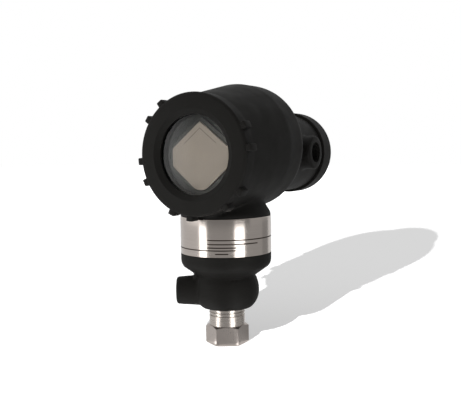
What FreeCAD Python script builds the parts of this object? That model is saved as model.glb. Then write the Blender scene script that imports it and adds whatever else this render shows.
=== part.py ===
"""Field pressure transmitter: a twin-compartment housing on a sensor module with a hexagon process stem.

Millimetres. +Z is up and the origin is the centre of the hexagon's flat bottom face. The housing's
drum lies along Y: the window cover faces -Y and the blind cover of the terminal side faces +Y.
"""
import FreeCAD, Part
import math
import os
import Sketcher
from FreeCAD import Placement, Rotation, Vector

SIZES = {
    # process stem
    "hex_flats": 32.0,
    "hex_height": 15.9,
    "hex_chamfer": 1.3,
    "stem_radius": 15.3,
    "stem_top": 60.0,
    "stem_edge": 1.0,
    "stem_groove_depth": 1.1,
    "stem_groove_width": 2.0,
    "stem_groove_gap": 0.8,
    "stem_groove_start": 24.2,
    "port_radius": 9.3,
    "port_depth": 20.0,
    "passage_radius": 2.5,
    "chamber_radius": 11.0,
    "chamber_depth": 3.0,
    # sensor body
    "body_bottom": 31.2,
    "body_foot_radius": 21.2,
    "barrel_radius": 27.9,
    "barrel_height": 45.5,
    "barrel_lower_bend": 18.5,
    "barrel_upper_bend": 26.0,
    "body_neck_radius": 24.6,
    "body_neck_height": 58.6,
    "flare_radius": 36.4,
    "flare_height": 67.0,
    "collar_height": 72.6,
    "collar_bend": 9.0,
    "body_top": 78.4,
    "body_cavity_radius": 20.0,
    "body_cavity_floor": 63.0,
    # side boss and vent plug
    "boss_radius": 11.8,
    "boss_reach": 43.0,
    "boss_heading": 210.0,
    "boss_root_radius": 13.2,
    "boss_root": 20.0,
    "rib_reach": 27.6,
    "rib_width": 16.0,
    "rib_height": 64.6,
    "boss_edge": 2.4,
    "plug_radius": 6.6,
    "plug_length": 12.0,
    "plug_edge": 0.6,
    "plug_seat_depth": 1.0,
    "plug_socket_flats": 4.4,
    "plug_socket_depth": 4.0,
    "vent_passage_radius": 1.5,
    # sensor collar
    "ring_radius": 38.6,
    "ring_edge": 0.8,
    "ring_top": 110.0,
    "ring_cavity_radius": 20.5,
    "ring_roof": 5.0,
    "neck_radius": 24.0,
    "neck_bore_radius": 18.5,
    "neck_top": 123.0,
    "neck_edge": 1.0,
    "ring_groove_depth": 0.7,
    "ring_groove_width": 0.9,
    # sensor parts
    "diaphragm_radius": 12.5,
    "diaphragm_thickness": 0.4,
    "cell_radius": 13.5,
    "cell_height": 11.0,
    "header_radius": 9.0,
    "header_height": 3.0,
    "tube_radius": 1.1,
    "tube_height": 6.0,
    "pin_radius": 0.5,
    "pin_circle": 5.5,
    "pin_count": 6,
    "board_radius": 17.5,
    "board_thickness": 1.6,
    "board_gap": 5.0,
    "socket_width": 16.0,
    "socket_depth": 6.0,
    "socket_height": 8.0,
    # housing
    "axis_height": 161.7,
    "cover_reach": 51.8,
    "front_radius": 48.8,
    "drum_radius": 54.0,
    "drum_rise": 6.0,
    "drum_start": 69.0,
    "drum_end": 101.0,
    "drum_shoulder": 10.5,
    "rear_drum_radius": 37.0,
    "rear_drum_end": 176.0,
    "front_thread_radius": 43.05,
    "front_thread_depth": 14.0,
    "front_cavity_radius": 40.5,
    "web_front": 86.0,
    "web_back": 92.0,
    "web_hole_radius": 6.0,
    "rear_cavity_radius": 32.6,
    "rear_thread_radius": 33.05,
    "rear_thread_depth": 13.0,
    "skirt_radius": 38.4,
    "skirt_rim": 1.8,
    "skirt_top_radius": 32.9,
    "skirt_height": 11.0,
    "skirt_inside": 24.0,
    "skirt_lean": 1.0,
    "entry_boss_radius": 15.5,
    "entry_boss_reach": 47.0,
    "entry_radius": 9.3,
    "entry_place": 138.0,
    "earth_boss_radius": 7.5,
    "earth_boss_reach": 43.0,
    "earth_place": 114.0,
    "earth_drop": 16.0,
    # front cover and window
    "cover_radius": 49.3,
    "cover_length": 13.2,
    "cover_edge": 2.5,
    "cover_thread_length": 12.0,
    "window_radius": 32.0,
    "bezel_radius": 36.5,
    "bezel_depth": 3.0,
    "lip_depth": 4.5,
    "glass_pocket_radius": 36.0,
    "glass_pocket_end": 16.0,
    "cover_cavity_radius": 39.5,
    "gasket_thickness": 0.8,
    "gasket_inset": 0.5,
    "glass_thickness": 6.0,
    "retainer_length": 4.0,
    "lug_height": 3.7,
    "lug_width": 5.8,
    "lug_length": 10.0,
    "lug_start": 0.8,
    "lug_pairs": 5,
    "lug_phase": -15.7,
    "lug_sweep": 240.0,
    "lug_spread": 10.0,
    "lug_bite": 3.0,
    "seal_place": 2.6,
    "seal_thickness": 1.9,
    "seal_groove_width": 2.6,
    # rear cover
    "dome_radius": 39.4,
    "dome_length": 24.7,
    "dome_bend": 9.0,
    "dome_wall": 4.5,
    "dome_lip": 3.0,
    "dome_cavity_radius": 29.0,
    "rear_cover_thread": 11.0,
    "tool_slot_width": 8.0,
    "tool_slot_depth": 3.5,
    "tool_slot_length": 48.0,
    # display
    "plate_top": 26.6,
    "plate_chin": 32.6,
    "plate_half_width": 26.6,
    "plate_upper_slope": 0.81,
    "plate_lower_slope": 0.865,
    "plate_front": 15.3,
    "plate_thickness": 2.4,
    "plate_top_radius": 1.2,
    "plate_side_radius": 4.0,
    "plate_chin_radius": 12.0,
    "frame_margin": 3.6,
    "frame_front": 17.0,
    "frame_wall": 2.2,
    "face_radius": 35.0,
    "face_front": 20.0,
    "face_thickness": 2.0,
    "case_back": 36.0,
    "display_board_thickness": 1.6,
    "back_thickness": 3.0,
    "pivot_radius": 10.0,
    "pivot_length": 5.0,
    "mount_radius": 37.0,
    "mount_thickness": 3.0,
    "mount_post_radius": 3.0,
    "mount_post_circle": 31.0,
    "mount_post_count": 3,
    # electronics and terminals
    "module_radius": 36.0,
    "module_front": 54.0,
    "module_neck_radius": 26.0,
    "module_neck": 6.0,
    "terminal_base_radius": 27.0,
    "terminal_base": 20.0,
    "terminal_bar_length": 44.0,
    "terminal_bar_width": 17.0,
    "terminal_bar_height": 9.0,
    "terminal_pitch": 13.0,
    "terminal_count": 3,
    "barrier_thickness": 1.4,
    "barrier_height": 4.5,
    # screws
    "screw_shank_radius": 1.5,
    "screw_head_radius": 2.9,
    "screw_head_height": 2.2,
    "screw_socket_flats": 2.4,
    "screw_socket_depth": 1.3,
    "lock_screw_radius": 2.0,
    "lock_screw_length": 3.4,
    "lock_screw_gap": 0.3,
    "lock_screw_inset": 0.5,
    "earth_screw_length": 8.0,
    "earth_washer_thickness": 1.0,
    "earth_washer_radius": 4.4,
    "screw_end_gap": 1.0,
    "lock_socket_flats": 1.9,
    "fixing_screw_inset": 3.0,
    "entry_plug_head": 5.0,
    "entry_plug_length": 14.0,
    # fits
    "running_clearance": 0.05,
    "face_clearance": 0.3,
    "fit_clearance": 0.05,
}

# Grooves round the collar: height, start and sweep in degrees, the angles taken about +Z from +X.
RING_GROOVES = [
    ("upper", 92.7, 278.0, 175.0),
    ("second", 89.4, 278.0, 63.0),
    ("third", 86.6, 278.0, 34.0),
    ("lower", 84.3, 130.0, 181.0),
    ("foot", 81.6, 288.0, 15.0),
]

BEVEL_ANGLE = 30.0
MODULE_SCREW_ANGLES = (30.0, 150.0)
TOUCHING = 1e-3

UP = Rotation()
BACK = Rotation(Vector(1, 0, 0), -90)
FORWARD = Rotation(Vector(1, 0, 0), 90)
RIGHT = Rotation(Vector(0, 1, 0), 90)
LEFT = Rotation(Vector(0, 1, 0), -90)

doc = FreeCAD.newDocument("PressureTransmitter")
sheet = doc.addObject("Spreadsheet::Sheet", "Sizes")


class Length:
    """A number that also knows the sheet expression it comes from."""

    def __init__(self, value, text):
        self.value = float(value)
        self.text = text

    def __add__(self, other):
        return Length(self.value + number(other), "(%s + %s)" % (self.text, words(other)))

    def __radd__(self, other):
        return Length(number(other) + self.value, "(%s + %s)" % (words(other), self.text))

    def __sub__(self, other):
        return Length(self.value - number(other), "(%s - %s)" % (self.text, words(other)))

    def __rsub__(self, other):
        return Length(number(other) - self.value, "(%s - %s)" % (words(other), self.text))

    def __mul__(self, other):
        return Length(self.value * number(other), "(%s * %s)" % (self.text, words(other)))

    def __rmul__(self, other):
        return self * other

    def __truediv__(self, other):
        return Length(self.value / number(other), "(%s / %s)" % (self.text, words(other)))

    def __neg__(self):
        return Length(-self.value, "(0 - %s)" % self.text)


class Sizes:
    """The sheet's cells, one attribute each."""


def number(value):
    return value.value if isinstance(value, Length) else float(value)


def words(value):
    return value.text if isinstance(value, Length) else repr(float(value))


size = Sizes()
for row, (alias, value) in enumerate(SIZES.items(), start=1):
    sheet.set("A%d" % row, alias.replace("_", " "))
    sheet.set("B%d" % row, repr(value))
    sheet.setAlias("B%d" % row, alias)
    setattr(size, alias, Length(value, "Sizes.%s" % alias))
doc.recompute()

nodes = []


# ---------------------------------------------------------------- helpers

def bind(thing, **properties):
    """Set properties, through the sheet where the value comes from it."""
    for name, value in properties.items():
        if isinstance(value, Length):
            thing.setExpression(name, value.text)
        else:
            setattr(thing, name, value)
    return thing


def place(thing, at=(0, 0, 0), turn=UP):
    """Put a thing at a point, with its own Z turned to a direction."""
    thing.Placement = Placement(Vector(*[number(v) for v in at]), turn)
    for axis, value in zip("xyz", at):
        if isinstance(value, Length):
            thing.setExpression("Placement.Base.%s" % axis, value.text)
    return thing


def cylinder(name, radius, height, at=(0, 0, 0), turn=UP):
    return place(bind(doc.addObject("Part::Cylinder", name), Radius=radius, Height=height), at, turn)


def box(name, length, width, height, at=(0, 0, 0), turn=UP):
    thing = doc.addObject("Part::Box", name)
    return place(bind(thing, Length=length, Width=width, Height=height), at, turn)


def hexagon(name, flats, height, at=(0, 0, 0), turn=UP):
    thing = doc.addObject("Part::Prism", name)
    return place(bind(thing, Polygon=6, Circumradius=flats / math.sqrt(3), Height=height), at, turn)


def torus(name, radius, section, at=(0, 0, 0), turn=UP):
    return place(bind(doc.addObject("Part::Torus", name), Radius1=radius, Radius2=section), at, turn)


def cut(name, base, *tools):
    for index, tool in enumerate(tools, start=1):
        step = doc.addObject("Part::Cut", name if index == len(tools) else "%s_cut%d" % (name, index))
        step.Base, step.Tool = base, tool
        base = step
    return base


def fuse(name, *shapes):
    thing = doc.addObject("Part::MultiFuse", name)
    thing.Shapes = list(shapes)
    thing.Refine = True
    return thing


def common(name, *shapes):
    thing = doc.addObject("Part::MultiCommon", name)
    thing.Shapes = list(shapes)
    return thing


def group(name, pieces):
    thing = doc.addObject("Part::Compound", name)
    thing.Links = list(pieces)
    return thing


def plane(body, role):
    return [item for item in body.Origin.OriginFeatures if item.Role == role][0]


class Bend:
    """An arc between the two profile points beside it. A positive side swells to the path's right."""

    def __init__(self, radius, side=1):
        self.radius, self.side = radius, side

    def between(self, start, end):
        chord = end - start
        radius = number(self.radius)
        off = Vector(chord.y, -chord.x, 0).normalize() * self.side
        centre = (start + end) * 0.5 - off * math.sqrt(max(radius ** 2 - chord.Length ** 2 / 4, 0))
        middle = centre + off * radius
        return Part.Arc(start, middle, end) if self.side > 0 else Part.Arc(end, middle, start)


def draw(sketch, outline):
    """Draw a closed outline of (x, y) points and Bends, each point tied to the sheet."""
    points = [item for item in outline if not isinstance(item, Bend)]
    spots = [Vector(number(x), number(y), 0) for x, y in points]
    bends = {}
    for index, item in enumerate(outline):
        if isinstance(item, Bend):
            bends[sum(1 for before in outline[:index] if not isinstance(before, Bend)) - 1] = item
    count = len(points)
    for index in range(count):
        start, end = spots[index], spots[(index + 1) % count]
        if index in bends:
            sketch.addGeometry(bends[index].between(start, end), False)
        else:
            sketch.addGeometry(Part.LineSegment(start, end), False)
    ends = []
    for index in range(count):
        curve = sketch.Geometry[index]
        forward = isinstance(curve, Part.LineSegment) or (curve.StartPoint - spots[index]).Length < 1e-6
        ends.append((1, 2) if forward else (2, 1))
    for index in range(count):
        following = (index + 1) % count
        sketch.addConstraint(Sketcher.Constraint(
            "Coincident", index, ends[index][1], following, ends[following][0]))
    for index, point in enumerate(points):
        tie(sketch, index, ends[index][0], "DistanceX", -2, point[0])
        tie(sketch, index, ends[index][0], "DistanceY", -1, point[1])
    for index, bend in bends.items():
        sketch.addConstraint(Sketcher.Constraint("Radius", index, number(bend.radius)))
        if isinstance(bend.radius, Length):
            sketch.setExpression("Constraints[%d]" % (sketch.ConstraintCount - 1), bend.radius.text)


def tie(sketch, curve, end, kind, axis, value):
    """Hold one end of a curve at a distance from the sketch's origin, or on its axis."""
    if number(value) == 0:
        sketch.addConstraint(Sketcher.Constraint("PointOnObject", curve, end, axis))
        return
    sketch.addConstraint(Sketcher.Constraint(kind, -1, 1, curve, end, number(value)))
    if isinstance(value, Length):
        sketch.setExpression("Constraints[%d]" % (sketch.ConstraintCount - 1), value.text)


def sketch_on(body, role, name, outline, offset=None):
    sketch = body.newObject("Sketcher::SketchObject", name)
    sketch.AttachmentSupport = [(plane(body, role), "")]
    sketch.MapMode = "FlatFace"
    if offset is not None:
        sketch.AttachmentOffset = offset
    draw(sketch, outline)
    return sketch


def turned(name, outline, at=(0, 0, 0), turn=UP):
    """A turned body: the outline's (radius, height) points revolved about the body's own Z."""
    body = doc.addObject("PartDesign::Body", name)
    sketch = sketch_on(body, "XZ_Plane", name + "_profile", outline)
    spin = body.newObject("PartDesign::Revolution", name + "_turn")
    spin.Profile = sketch
    spin.ReferenceAxis = (sketch, ["V_Axis"])
    spin.Angle = 360
    body.Tip = spin
    return place(body, at, turn)


def ring(name, inner, outer, low, high, at=(0, 0, 0), turn=UP):
    return turned(name, [(inner, low), (outer, low), (outer, high), (inner, high)], at, turn)


def node(label, thing):
    """Keep a finished piece under the name of its file."""
    thing.Label = label
    nodes.append((label, thing))
    return thing


def rounded(name, base, radius, chosen):
    """Round the edges that the chosen test picks."""
    doc.recompute()
    picked = [index for index, edge in enumerate(base.Shape.Edges, start=1) if chosen(edge)]
    thing = doc.addObject("Part::Fillet", name)
    thing.Base = base
    thing.Edges = [(index, number(radius), number(radius)) for index in picked]
    return thing


# Everything in the drum is placed by its distance behind the front cover's face.
DRUM = (0, -size.cover_reach, size.axis_height)


def in_drum(x, rise, depth):
    """A point in the drum: sideways, above the axis and behind the front cover's face."""
    return (x, depth - size.cover_reach, size.axis_height + rise)


def socket_screw(name, shank_radius, shank_length, at, turn):
    """A cap screw whose head stands on the point given and whose shank runs against its own Z."""
    head = cylinder(name + "_head", size.screw_head_radius, size.screw_head_height, at, turn)
    axis = turn.multVec(Vector(0, 0, 1))
    foot = tuple(place_along(value, part, -shank_length) for value, part in zip(at, axis))
    mouth = tuple(place_along(value, part, size.screw_head_height - size.screw_socket_depth)
                  for value, part in zip(at, axis))
    shank = cylinder(name + "_shank", shank_radius, shank_length, foot, turn)
    socket = hexagon(name + "_socket", size.screw_socket_flats, size.screw_socket_depth, mouth, turn)
    return cut(name, fuse(name + "_blank", head, shank), socket)


def place_along(value, part, distance):
    """Step a coordinate along an axis that lies on a row axis."""
    return value + round(part) * distance if round(part) else value


# ---------------------------------------------------------------- process stem and sensor body

def process_stem():
    blank = hexagon("stem_hexagon", size.hex_flats, size.hex_height, turn=Rotation(Vector(0, 0, 1), 30))
    corner = size.hex_flats / math.sqrt(3)
    slope = math.tan(math.radians(BEVEL_ANGLE))
    bevel = turned("stem_bevel", [
        (0, 0), (corner - size.hex_chamfer / 2, 0), (corner, size.hex_chamfer / 2 * slope),
        (corner, size.hex_height - size.hex_chamfer * 2 * slope),
        (corner - size.hex_chamfer * 2, size.hex_height), (0, size.hex_height)])
    outer, root = size.stem_radius, size.stem_radius - size.stem_groove_depth
    low, edge = size.stem_groove_start, size.stem_edge
    step, width = size.stem_groove_width + size.stem_groove_gap, size.stem_groove_width
    shank = turned("stem_shank", [
        (0, edge), (outer - edge, edge), (outer, edge * 2), (outer, low), (root, low), (root, low + width),
        (outer, low + width), (outer, low + step), (root, low + step), (root, low + step + width),
        (outer, low + step + width), (outer, size.stem_top), (0, size.stem_top)])
    throat = size.port_depth + (size.port_radius - size.passage_radius) * slope
    bore = turned("stem_bore", [
        (0, 0), (size.port_radius, 0), (size.port_radius, size.port_depth),
        (size.passage_radius, throat), (size.passage_radius, size.stem_top - size.chamber_depth),
        (size.chamber_radius, size.stem_top), (0, size.stem_top)])
    vent = cylinder("stem_vent", size.vent_passage_radius, size.barrel_radius,
                    (0, 0, size.barrel_height), heading(size.boss_heading))
    solid = fuse("stem_blank", common("stem_hex", blank, bevel), shank)
    return node("process_stem", cut("process_stem_solid", solid, bore, vent))


def heading(angle):
    """The turn that lays Z flat, pointing at an angle about +Z from +X, with its own X downwards."""
    return Rotation(Vector(0, 0, 1), number(angle)) * RIGHT


def sensor_body():
    bore = size.stem_radius + size.fit_clearance
    casting = turned("body_casting", [
        (0, size.body_bottom), (size.body_foot_radius, size.body_bottom), Bend(size.barrel_lower_bend),
        (size.barrel_radius, size.barrel_height), Bend(size.barrel_upper_bend),
        (size.body_neck_radius, size.body_neck_height), (size.flare_radius, size.flare_height),
        Bend(size.collar_bend), (size.ring_radius, size.collar_height),
        (size.ring_radius, size.body_top), (0, size.body_top)])
    boss = turned("body_boss", [
        (0, 0), (size.boss_root_radius, 0), (size.boss_root_radius, size.boss_root),
        (size.boss_radius, size.boss_reach - size.boss_edge),
        Bend(size.boss_edge), (size.boss_radius - size.boss_edge, size.boss_reach),
        (0, size.boss_reach)], (0, 0, size.barrel_height), heading(size.boss_heading))
    hollow = turned("body_hollow", [
        (0, size.body_bottom), (bore, size.body_bottom), (bore, size.body_cavity_floor),
        (size.body_cavity_radius, size.body_cavity_floor), (size.body_cavity_radius, size.body_top),
        (0, size.body_top)])
    seat = size.boss_reach - size.plug_seat_depth - size.plug_length
    port = turned("body_vent_port", [
        (0, 0), (size.vent_passage_radius, 0), (size.vent_passage_radius, seat),
        (size.plug_radius + size.running_clearance, seat),
        (size.plug_radius + size.running_clearance, size.boss_reach), (0, size.boss_reach)],
        (0, 0, size.barrel_height), heading(size.boss_heading))
    lean = math.radians(number(size.boss_heading))
    corner = (size.rib_width / 2 * math.sin(lean), -size.rib_width / 2 * math.cos(lean), size.rib_height)
    rib = box("body_rib", size.rib_height - size.barrel_height, size.rib_width, size.rib_reach,
              corner, heading(size.boss_heading))
    blank = fuse("body_blank", casting, boss, rib)
    return node("sensor_body", cut("sensor_body_solid", blank, hollow, port))


def vent_plug():
    at, turn = (0, 0, size.barrel_height), heading(size.boss_heading)
    top = size.boss_reach - size.plug_seat_depth
    low, edge = top - size.plug_length + size.face_clearance, size.plug_edge
    blank = turned("plug_blank", [
        (0, low), (size.plug_radius - edge, low), (size.plug_radius, low + edge),
        (size.plug_radius, top - edge), (size.plug_radius - edge, top), (0, top)], at, turn)
    socket = hexagon("plug_socket_tool", size.plug_socket_flats, size.boss_reach)
    limit = turned("plug_socket_limit", [
        (0, top - size.plug_socket_depth), (size.plug_radius, top - size.plug_socket_depth),
        (size.plug_radius, top), (0, top)])
    recess = place(common("plug_socket", socket, limit), at, turn)
    return node("vent_plug", cut("vent_plug_solid", blank, recess))


def sensor_collar():
    edge = size.ring_edge
    blank = turned("collar_blank", [
        (size.ring_cavity_radius, size.body_top), (size.ring_radius - edge / 2, size.body_top),
        (size.ring_radius, size.body_top + edge / 2), (size.ring_radius, size.ring_top - edge),
        Bend(edge), (size.ring_radius - edge, size.ring_top), (neck_seat(), size.ring_top),
        (neck_seat(), neck_low()), (size.ring_cavity_radius, neck_low())])
    grooves = []
    for name, height, start, sweep in RING_GROOVES:
        turn = Rotation(Vector(0, 0, 1), start)
        floor = height - size.ring_groove_width / 2
        outer = cylinder("groove_%s_outer" % name, size.ring_radius + edge, size.ring_groove_width,
                         (0, 0, floor), turn)
        inner = cylinder("groove_%s_inner" % name, size.ring_radius - size.ring_groove_depth,
                         size.ring_groove_width, (0, 0, floor), turn)
        bind(outer, Angle=sweep)
        grooves.append(cut("groove_%s" % name, outer, inner))
    return node("sensor_collar", cut("sensor_collar_solid", blank, *grooves))


def neck_seat():
    """Radius of the counterbore in the collar's roof that the neck stands in."""
    return size.neck_radius + size.running_clearance


def neck_low():
    """Height of the counterbore's shelf."""
    return size.ring_top - size.ring_roof


def sensor_neck():
    """The tube that stands on the collar's shelf, and that the housing turns about."""
    groove = size.neck_radius - seal_groove()
    return node("sensor_neck", turned("neck_tube", [
        (size.neck_bore_radius, neck_low()), (size.neck_radius, neck_low()),
        (size.neck_radius, seal_low()), (groove, seal_low()),
        (groove, seal_low() + size.seal_groove_width),
        (size.neck_radius, seal_low() + size.seal_groove_width),
        (size.neck_radius, size.neck_top - size.neck_edge),
        (size.neck_radius - size.neck_edge, size.neck_top), (size.neck_bore_radius, size.neck_top)]))


def seal_low():
    """Height of the neck seal's groove."""
    return size.ring_top + size.seal_place


def seal_groove():
    """Depth of a groove that a seal lies in."""
    return size.seal_thickness + size.running_clearance


def neck_seal():
    middle = seal_low() + size.seal_groove_width / 2
    radius = size.neck_radius - size.seal_thickness / 2
    return node("neck_seal", torus("neck_seal_ring", radius, size.seal_thickness / 2, (0, 0, middle)))


def sensing_parts():
    """The stack above the pressure chamber, up to the plug-in connector in the neck."""
    seat = size.stem_top
    node("isolating_diaphragm", cylinder(
        "diaphragm_disc", size.diaphragm_radius, size.diaphragm_thickness, (0, 0, seat)))
    seat = seat + size.diaphragm_thickness
    cell = cut("cell_solid",
               cylinder("cell_blank", size.cell_radius, size.cell_height, (0, 0, seat)),
               cylinder("cell_bore", size.tube_radius, size.cell_height, (0, 0, seat)))
    node("sensor_cell", cell)
    seat = seat + size.cell_height
    tube_place = size.cell_radius - size.tube_radius * 2
    node("oil_fill_tube", cylinder("fill_tube", size.tube_radius, size.tube_height, (tube_place, 0, seat)))
    node("feedthrough_header", cylinder("header_disc", size.header_radius, size.header_height, (0, 0, seat)))
    seat = seat + size.header_height
    pins = []
    for index in range(int(SIZES["pin_count"])):
        turn = 2 * math.pi * index / SIZES["pin_count"]
        spot = (size.pin_circle * math.cos(turn), size.pin_circle * math.sin(turn), seat)
        pins.append(cylinder("pin_%d" % (index + 1), size.pin_radius, size.board_gap, spot))
    node("header_pins", group("pin_group", pins))
    seat = seat + size.board_gap
    node("sensor_board", cylinder("sensor_board_disc", size.board_radius, size.board_thickness, (0, 0, seat)))
    seat = seat + size.board_thickness
    node("sensor_connector", box("connector_block", size.socket_width, size.socket_depth,
                                 size.socket_height, (-size.socket_width / 2, -size.socket_depth / 2, seat)))


# ---------------------------------------------------------------- housing

def housing():
    start = size.cover_length + size.face_clearance
    front = disc_edge("housing_front_section", size.front_radius, 0, start)
    middle = disc_edge("housing_drum_section", size.drum_radius, size.drum_rise, size.drum_start)
    flare = doc.addObject("Part::Loft", "housing_flare")
    flare.Sections = [front, middle]
    flare.Solid = True
    flare.Ruled = True
    drum = cylinder("housing_drum", size.drum_radius, size.drum_end - size.drum_start,
                    in_drum(0, size.drum_rise, size.drum_start), BACK)
    drum = rounded("housing_drum_round", drum, size.drum_shoulder, is_far_rim)
    rear = cylinder("housing_rear_drum", size.rear_drum_radius, size.rear_drum_end - size.drum_start,
                    in_drum(0, 0, size.drum_start), BACK)
    skirt_low = size.ring_top + size.face_clearance
    skirt = turned("housing_skirt", [
        (0, skirt_low), (size.skirt_radius, skirt_low), (size.skirt_radius, skirt_low + size.skirt_rim),
        (size.skirt_top_radius, skirt_low + size.skirt_height),
        (size.skirt_top_radius - size.skirt_lean, skirt_low + size.skirt_height + size.skirt_inside),
        (0, skirt_low + size.skirt_height + size.skirt_inside)])
    bosses = []
    for side, turn in (("right", RIGHT), ("left", LEFT)):
        bosses.append(cylinder("entry_boss_%s" % side, size.entry_boss_radius, size.entry_boss_reach,
                               in_drum(0, 0, size.entry_place), turn))
    earth = cylinder("earth_boss", size.earth_boss_radius, size.earth_boss_reach,
                     in_drum(0, -size.earth_drop, size.earth_place), LEFT)
    blank = fuse("housing_blank", flare, drum, rear, skirt, earth, *bosses)
    front_end = start + size.front_thread_depth
    rear_start = size.rear_drum_end - size.rear_thread_depth
    hollows = [
        turned("front_hollow", [
            (0, start), (size.front_thread_radius, start), (size.front_thread_radius, front_end),
            (size.front_cavity_radius, front_end), (size.front_cavity_radius, size.web_front),
            (0, size.web_front)], DRUM, BACK),
        turned("rear_hollow", [
            (0, size.web_back), (size.rear_cavity_radius, size.web_back),
            (size.rear_cavity_radius, rear_start), (size.rear_thread_radius, rear_start),
            (size.rear_thread_radius, size.rear_drum_end), (0, size.rear_drum_end)], DRUM, BACK),
        cylinder("web_hole", size.web_hole_radius, size.web_back - size.web_front,
                 in_drum(0, 0, size.web_front), BACK),
        cylinder("neck_bore", size.neck_radius + size.running_clearance,
                 size.axis_height - skirt_low, (0, 0, skirt_low)),
        cylinder("entry_bore", size.entry_radius, size.entry_boss_reach * 2,
                 in_drum(-size.entry_boss_reach, 0, size.entry_place), RIGHT),
    ]
    for name, at, turn, reach in lock_screw_places():
        hollows.append(cylinder("%s_hole" % name, size.lock_screw_radius + size.fit_clearance,
                                reach, at, turn))
    hollows.append(cylinder("earth_hole", size.screw_shank_radius + size.fit_clearance,
                            size.earth_screw_length,
                            in_drum(size.earth_screw_length - size.earth_boss_reach, -size.earth_drop,
                                    size.earth_place), LEFT))
    return node("housing", cut("housing_solid", blank, *hollows))


def disc_edge(name, radius, rise, depth):
    """A circle across the drum."""
    circle = bind(doc.addObject("Part::Circle", name), Radius=radius)
    return place(circle, in_drum(0, rise, depth), BACK)


def is_far_rim(edge):
    """The drum's rear rim."""
    far = SIZES["drum_end"] - SIZES["cover_reach"]
    box_of = edge.BoundBox
    return box_of.YLength < TOUCHING and abs(box_of.YMin - far) < TOUCHING


def lock_screw_places():
    """Name, start point, direction and hole length of the radial set screws."""
    inset = size.lock_screw_radius + size.lock_screw_inset
    under_front = size.cover_length + size.cover_thread_length - inset
    under_rear = rear_seat() - size.rear_cover_thread + inset
    neck = size.ring_top + size.face_clearance + size.skirt_height / 2
    return [
        ("front_lock", in_drum(0, size.front_cavity_radius, under_front), UP, size.drum_radius),
        ("rear_lock", in_drum(0, size.rear_cavity_radius, under_rear), UP, size.drum_radius),
        ("rotation_lock", (0, size.neck_radius, neck), BACK, size.ring_radius),
    ]


def grub_screw(name, bottom, at, turn):
    """A headless screw whose foot stands at a distance along its own Z from the point given."""
    axis = turn.multVec(Vector(0, 0, 1))
    foot = tuple(place_along(value, part, bottom) for value, part in zip(at, axis))
    mouth = tuple(place_along(value, part, bottom + size.lock_screw_length - size.screw_socket_depth)
                  for value, part in zip(at, axis))
    body = cylinder(name + "_body", size.lock_screw_radius, size.lock_screw_length, foot, turn)
    socket = hexagon(name + "_recess", size.lock_socket_flats, size.screw_socket_depth, mouth, turn)
    return cut(name + "_solid", body, socket)


def housing_screws():
    gap = size.lock_screw_gap
    places = {name: (at, turn) for name, at, turn, reach in lock_screw_places()}
    at, turn = places["front_lock"]
    node("front_cover_lock_screw", grub_screw(
        "front_screw", size.front_thread_radius - size.front_cavity_radius + gap, at, turn))
    at, turn = places["rear_lock"]
    node("rear_cover_lock_screw", grub_screw(
        "rear_screw", size.rear_thread_radius - size.rear_cavity_radius + gap, at, turn))
    at, turn = places["rotation_lock"]
    node("rotation_lock_screw", grub_screw("neck_screw", gap, at, turn))
    face = -size.earth_boss_reach
    washer = ring("earth_washer_ring", size.screw_shank_radius + size.fit_clearance,
                  size.earth_washer_radius, 0, size.earth_washer_thickness,
                  in_drum(face, -size.earth_drop, size.earth_place), LEFT)
    node("earth_washer", washer)
    node("earth_screw", socket_screw("earth_screw_solid", size.screw_shank_radius,
                                     size.earth_screw_length - size.screw_end_gap,
                                     in_drum(face - size.earth_washer_thickness, -size.earth_drop,
                                             size.earth_place), LEFT))
    head = hexagon("entry_plug_head", size.entry_radius * 2, size.entry_plug_head,
                   in_drum(-size.entry_boss_reach, 0, size.entry_place), LEFT)
    shank = cylinder("entry_plug_shank", size.entry_radius - size.fit_clearance, size.entry_plug_length,
                     in_drum(-size.entry_boss_reach, 0, size.entry_place), RIGHT)
    node("entry_plug", fuse("entry_plug_solid", head, shank))


# ---------------------------------------------------------------- front cover and window

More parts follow.
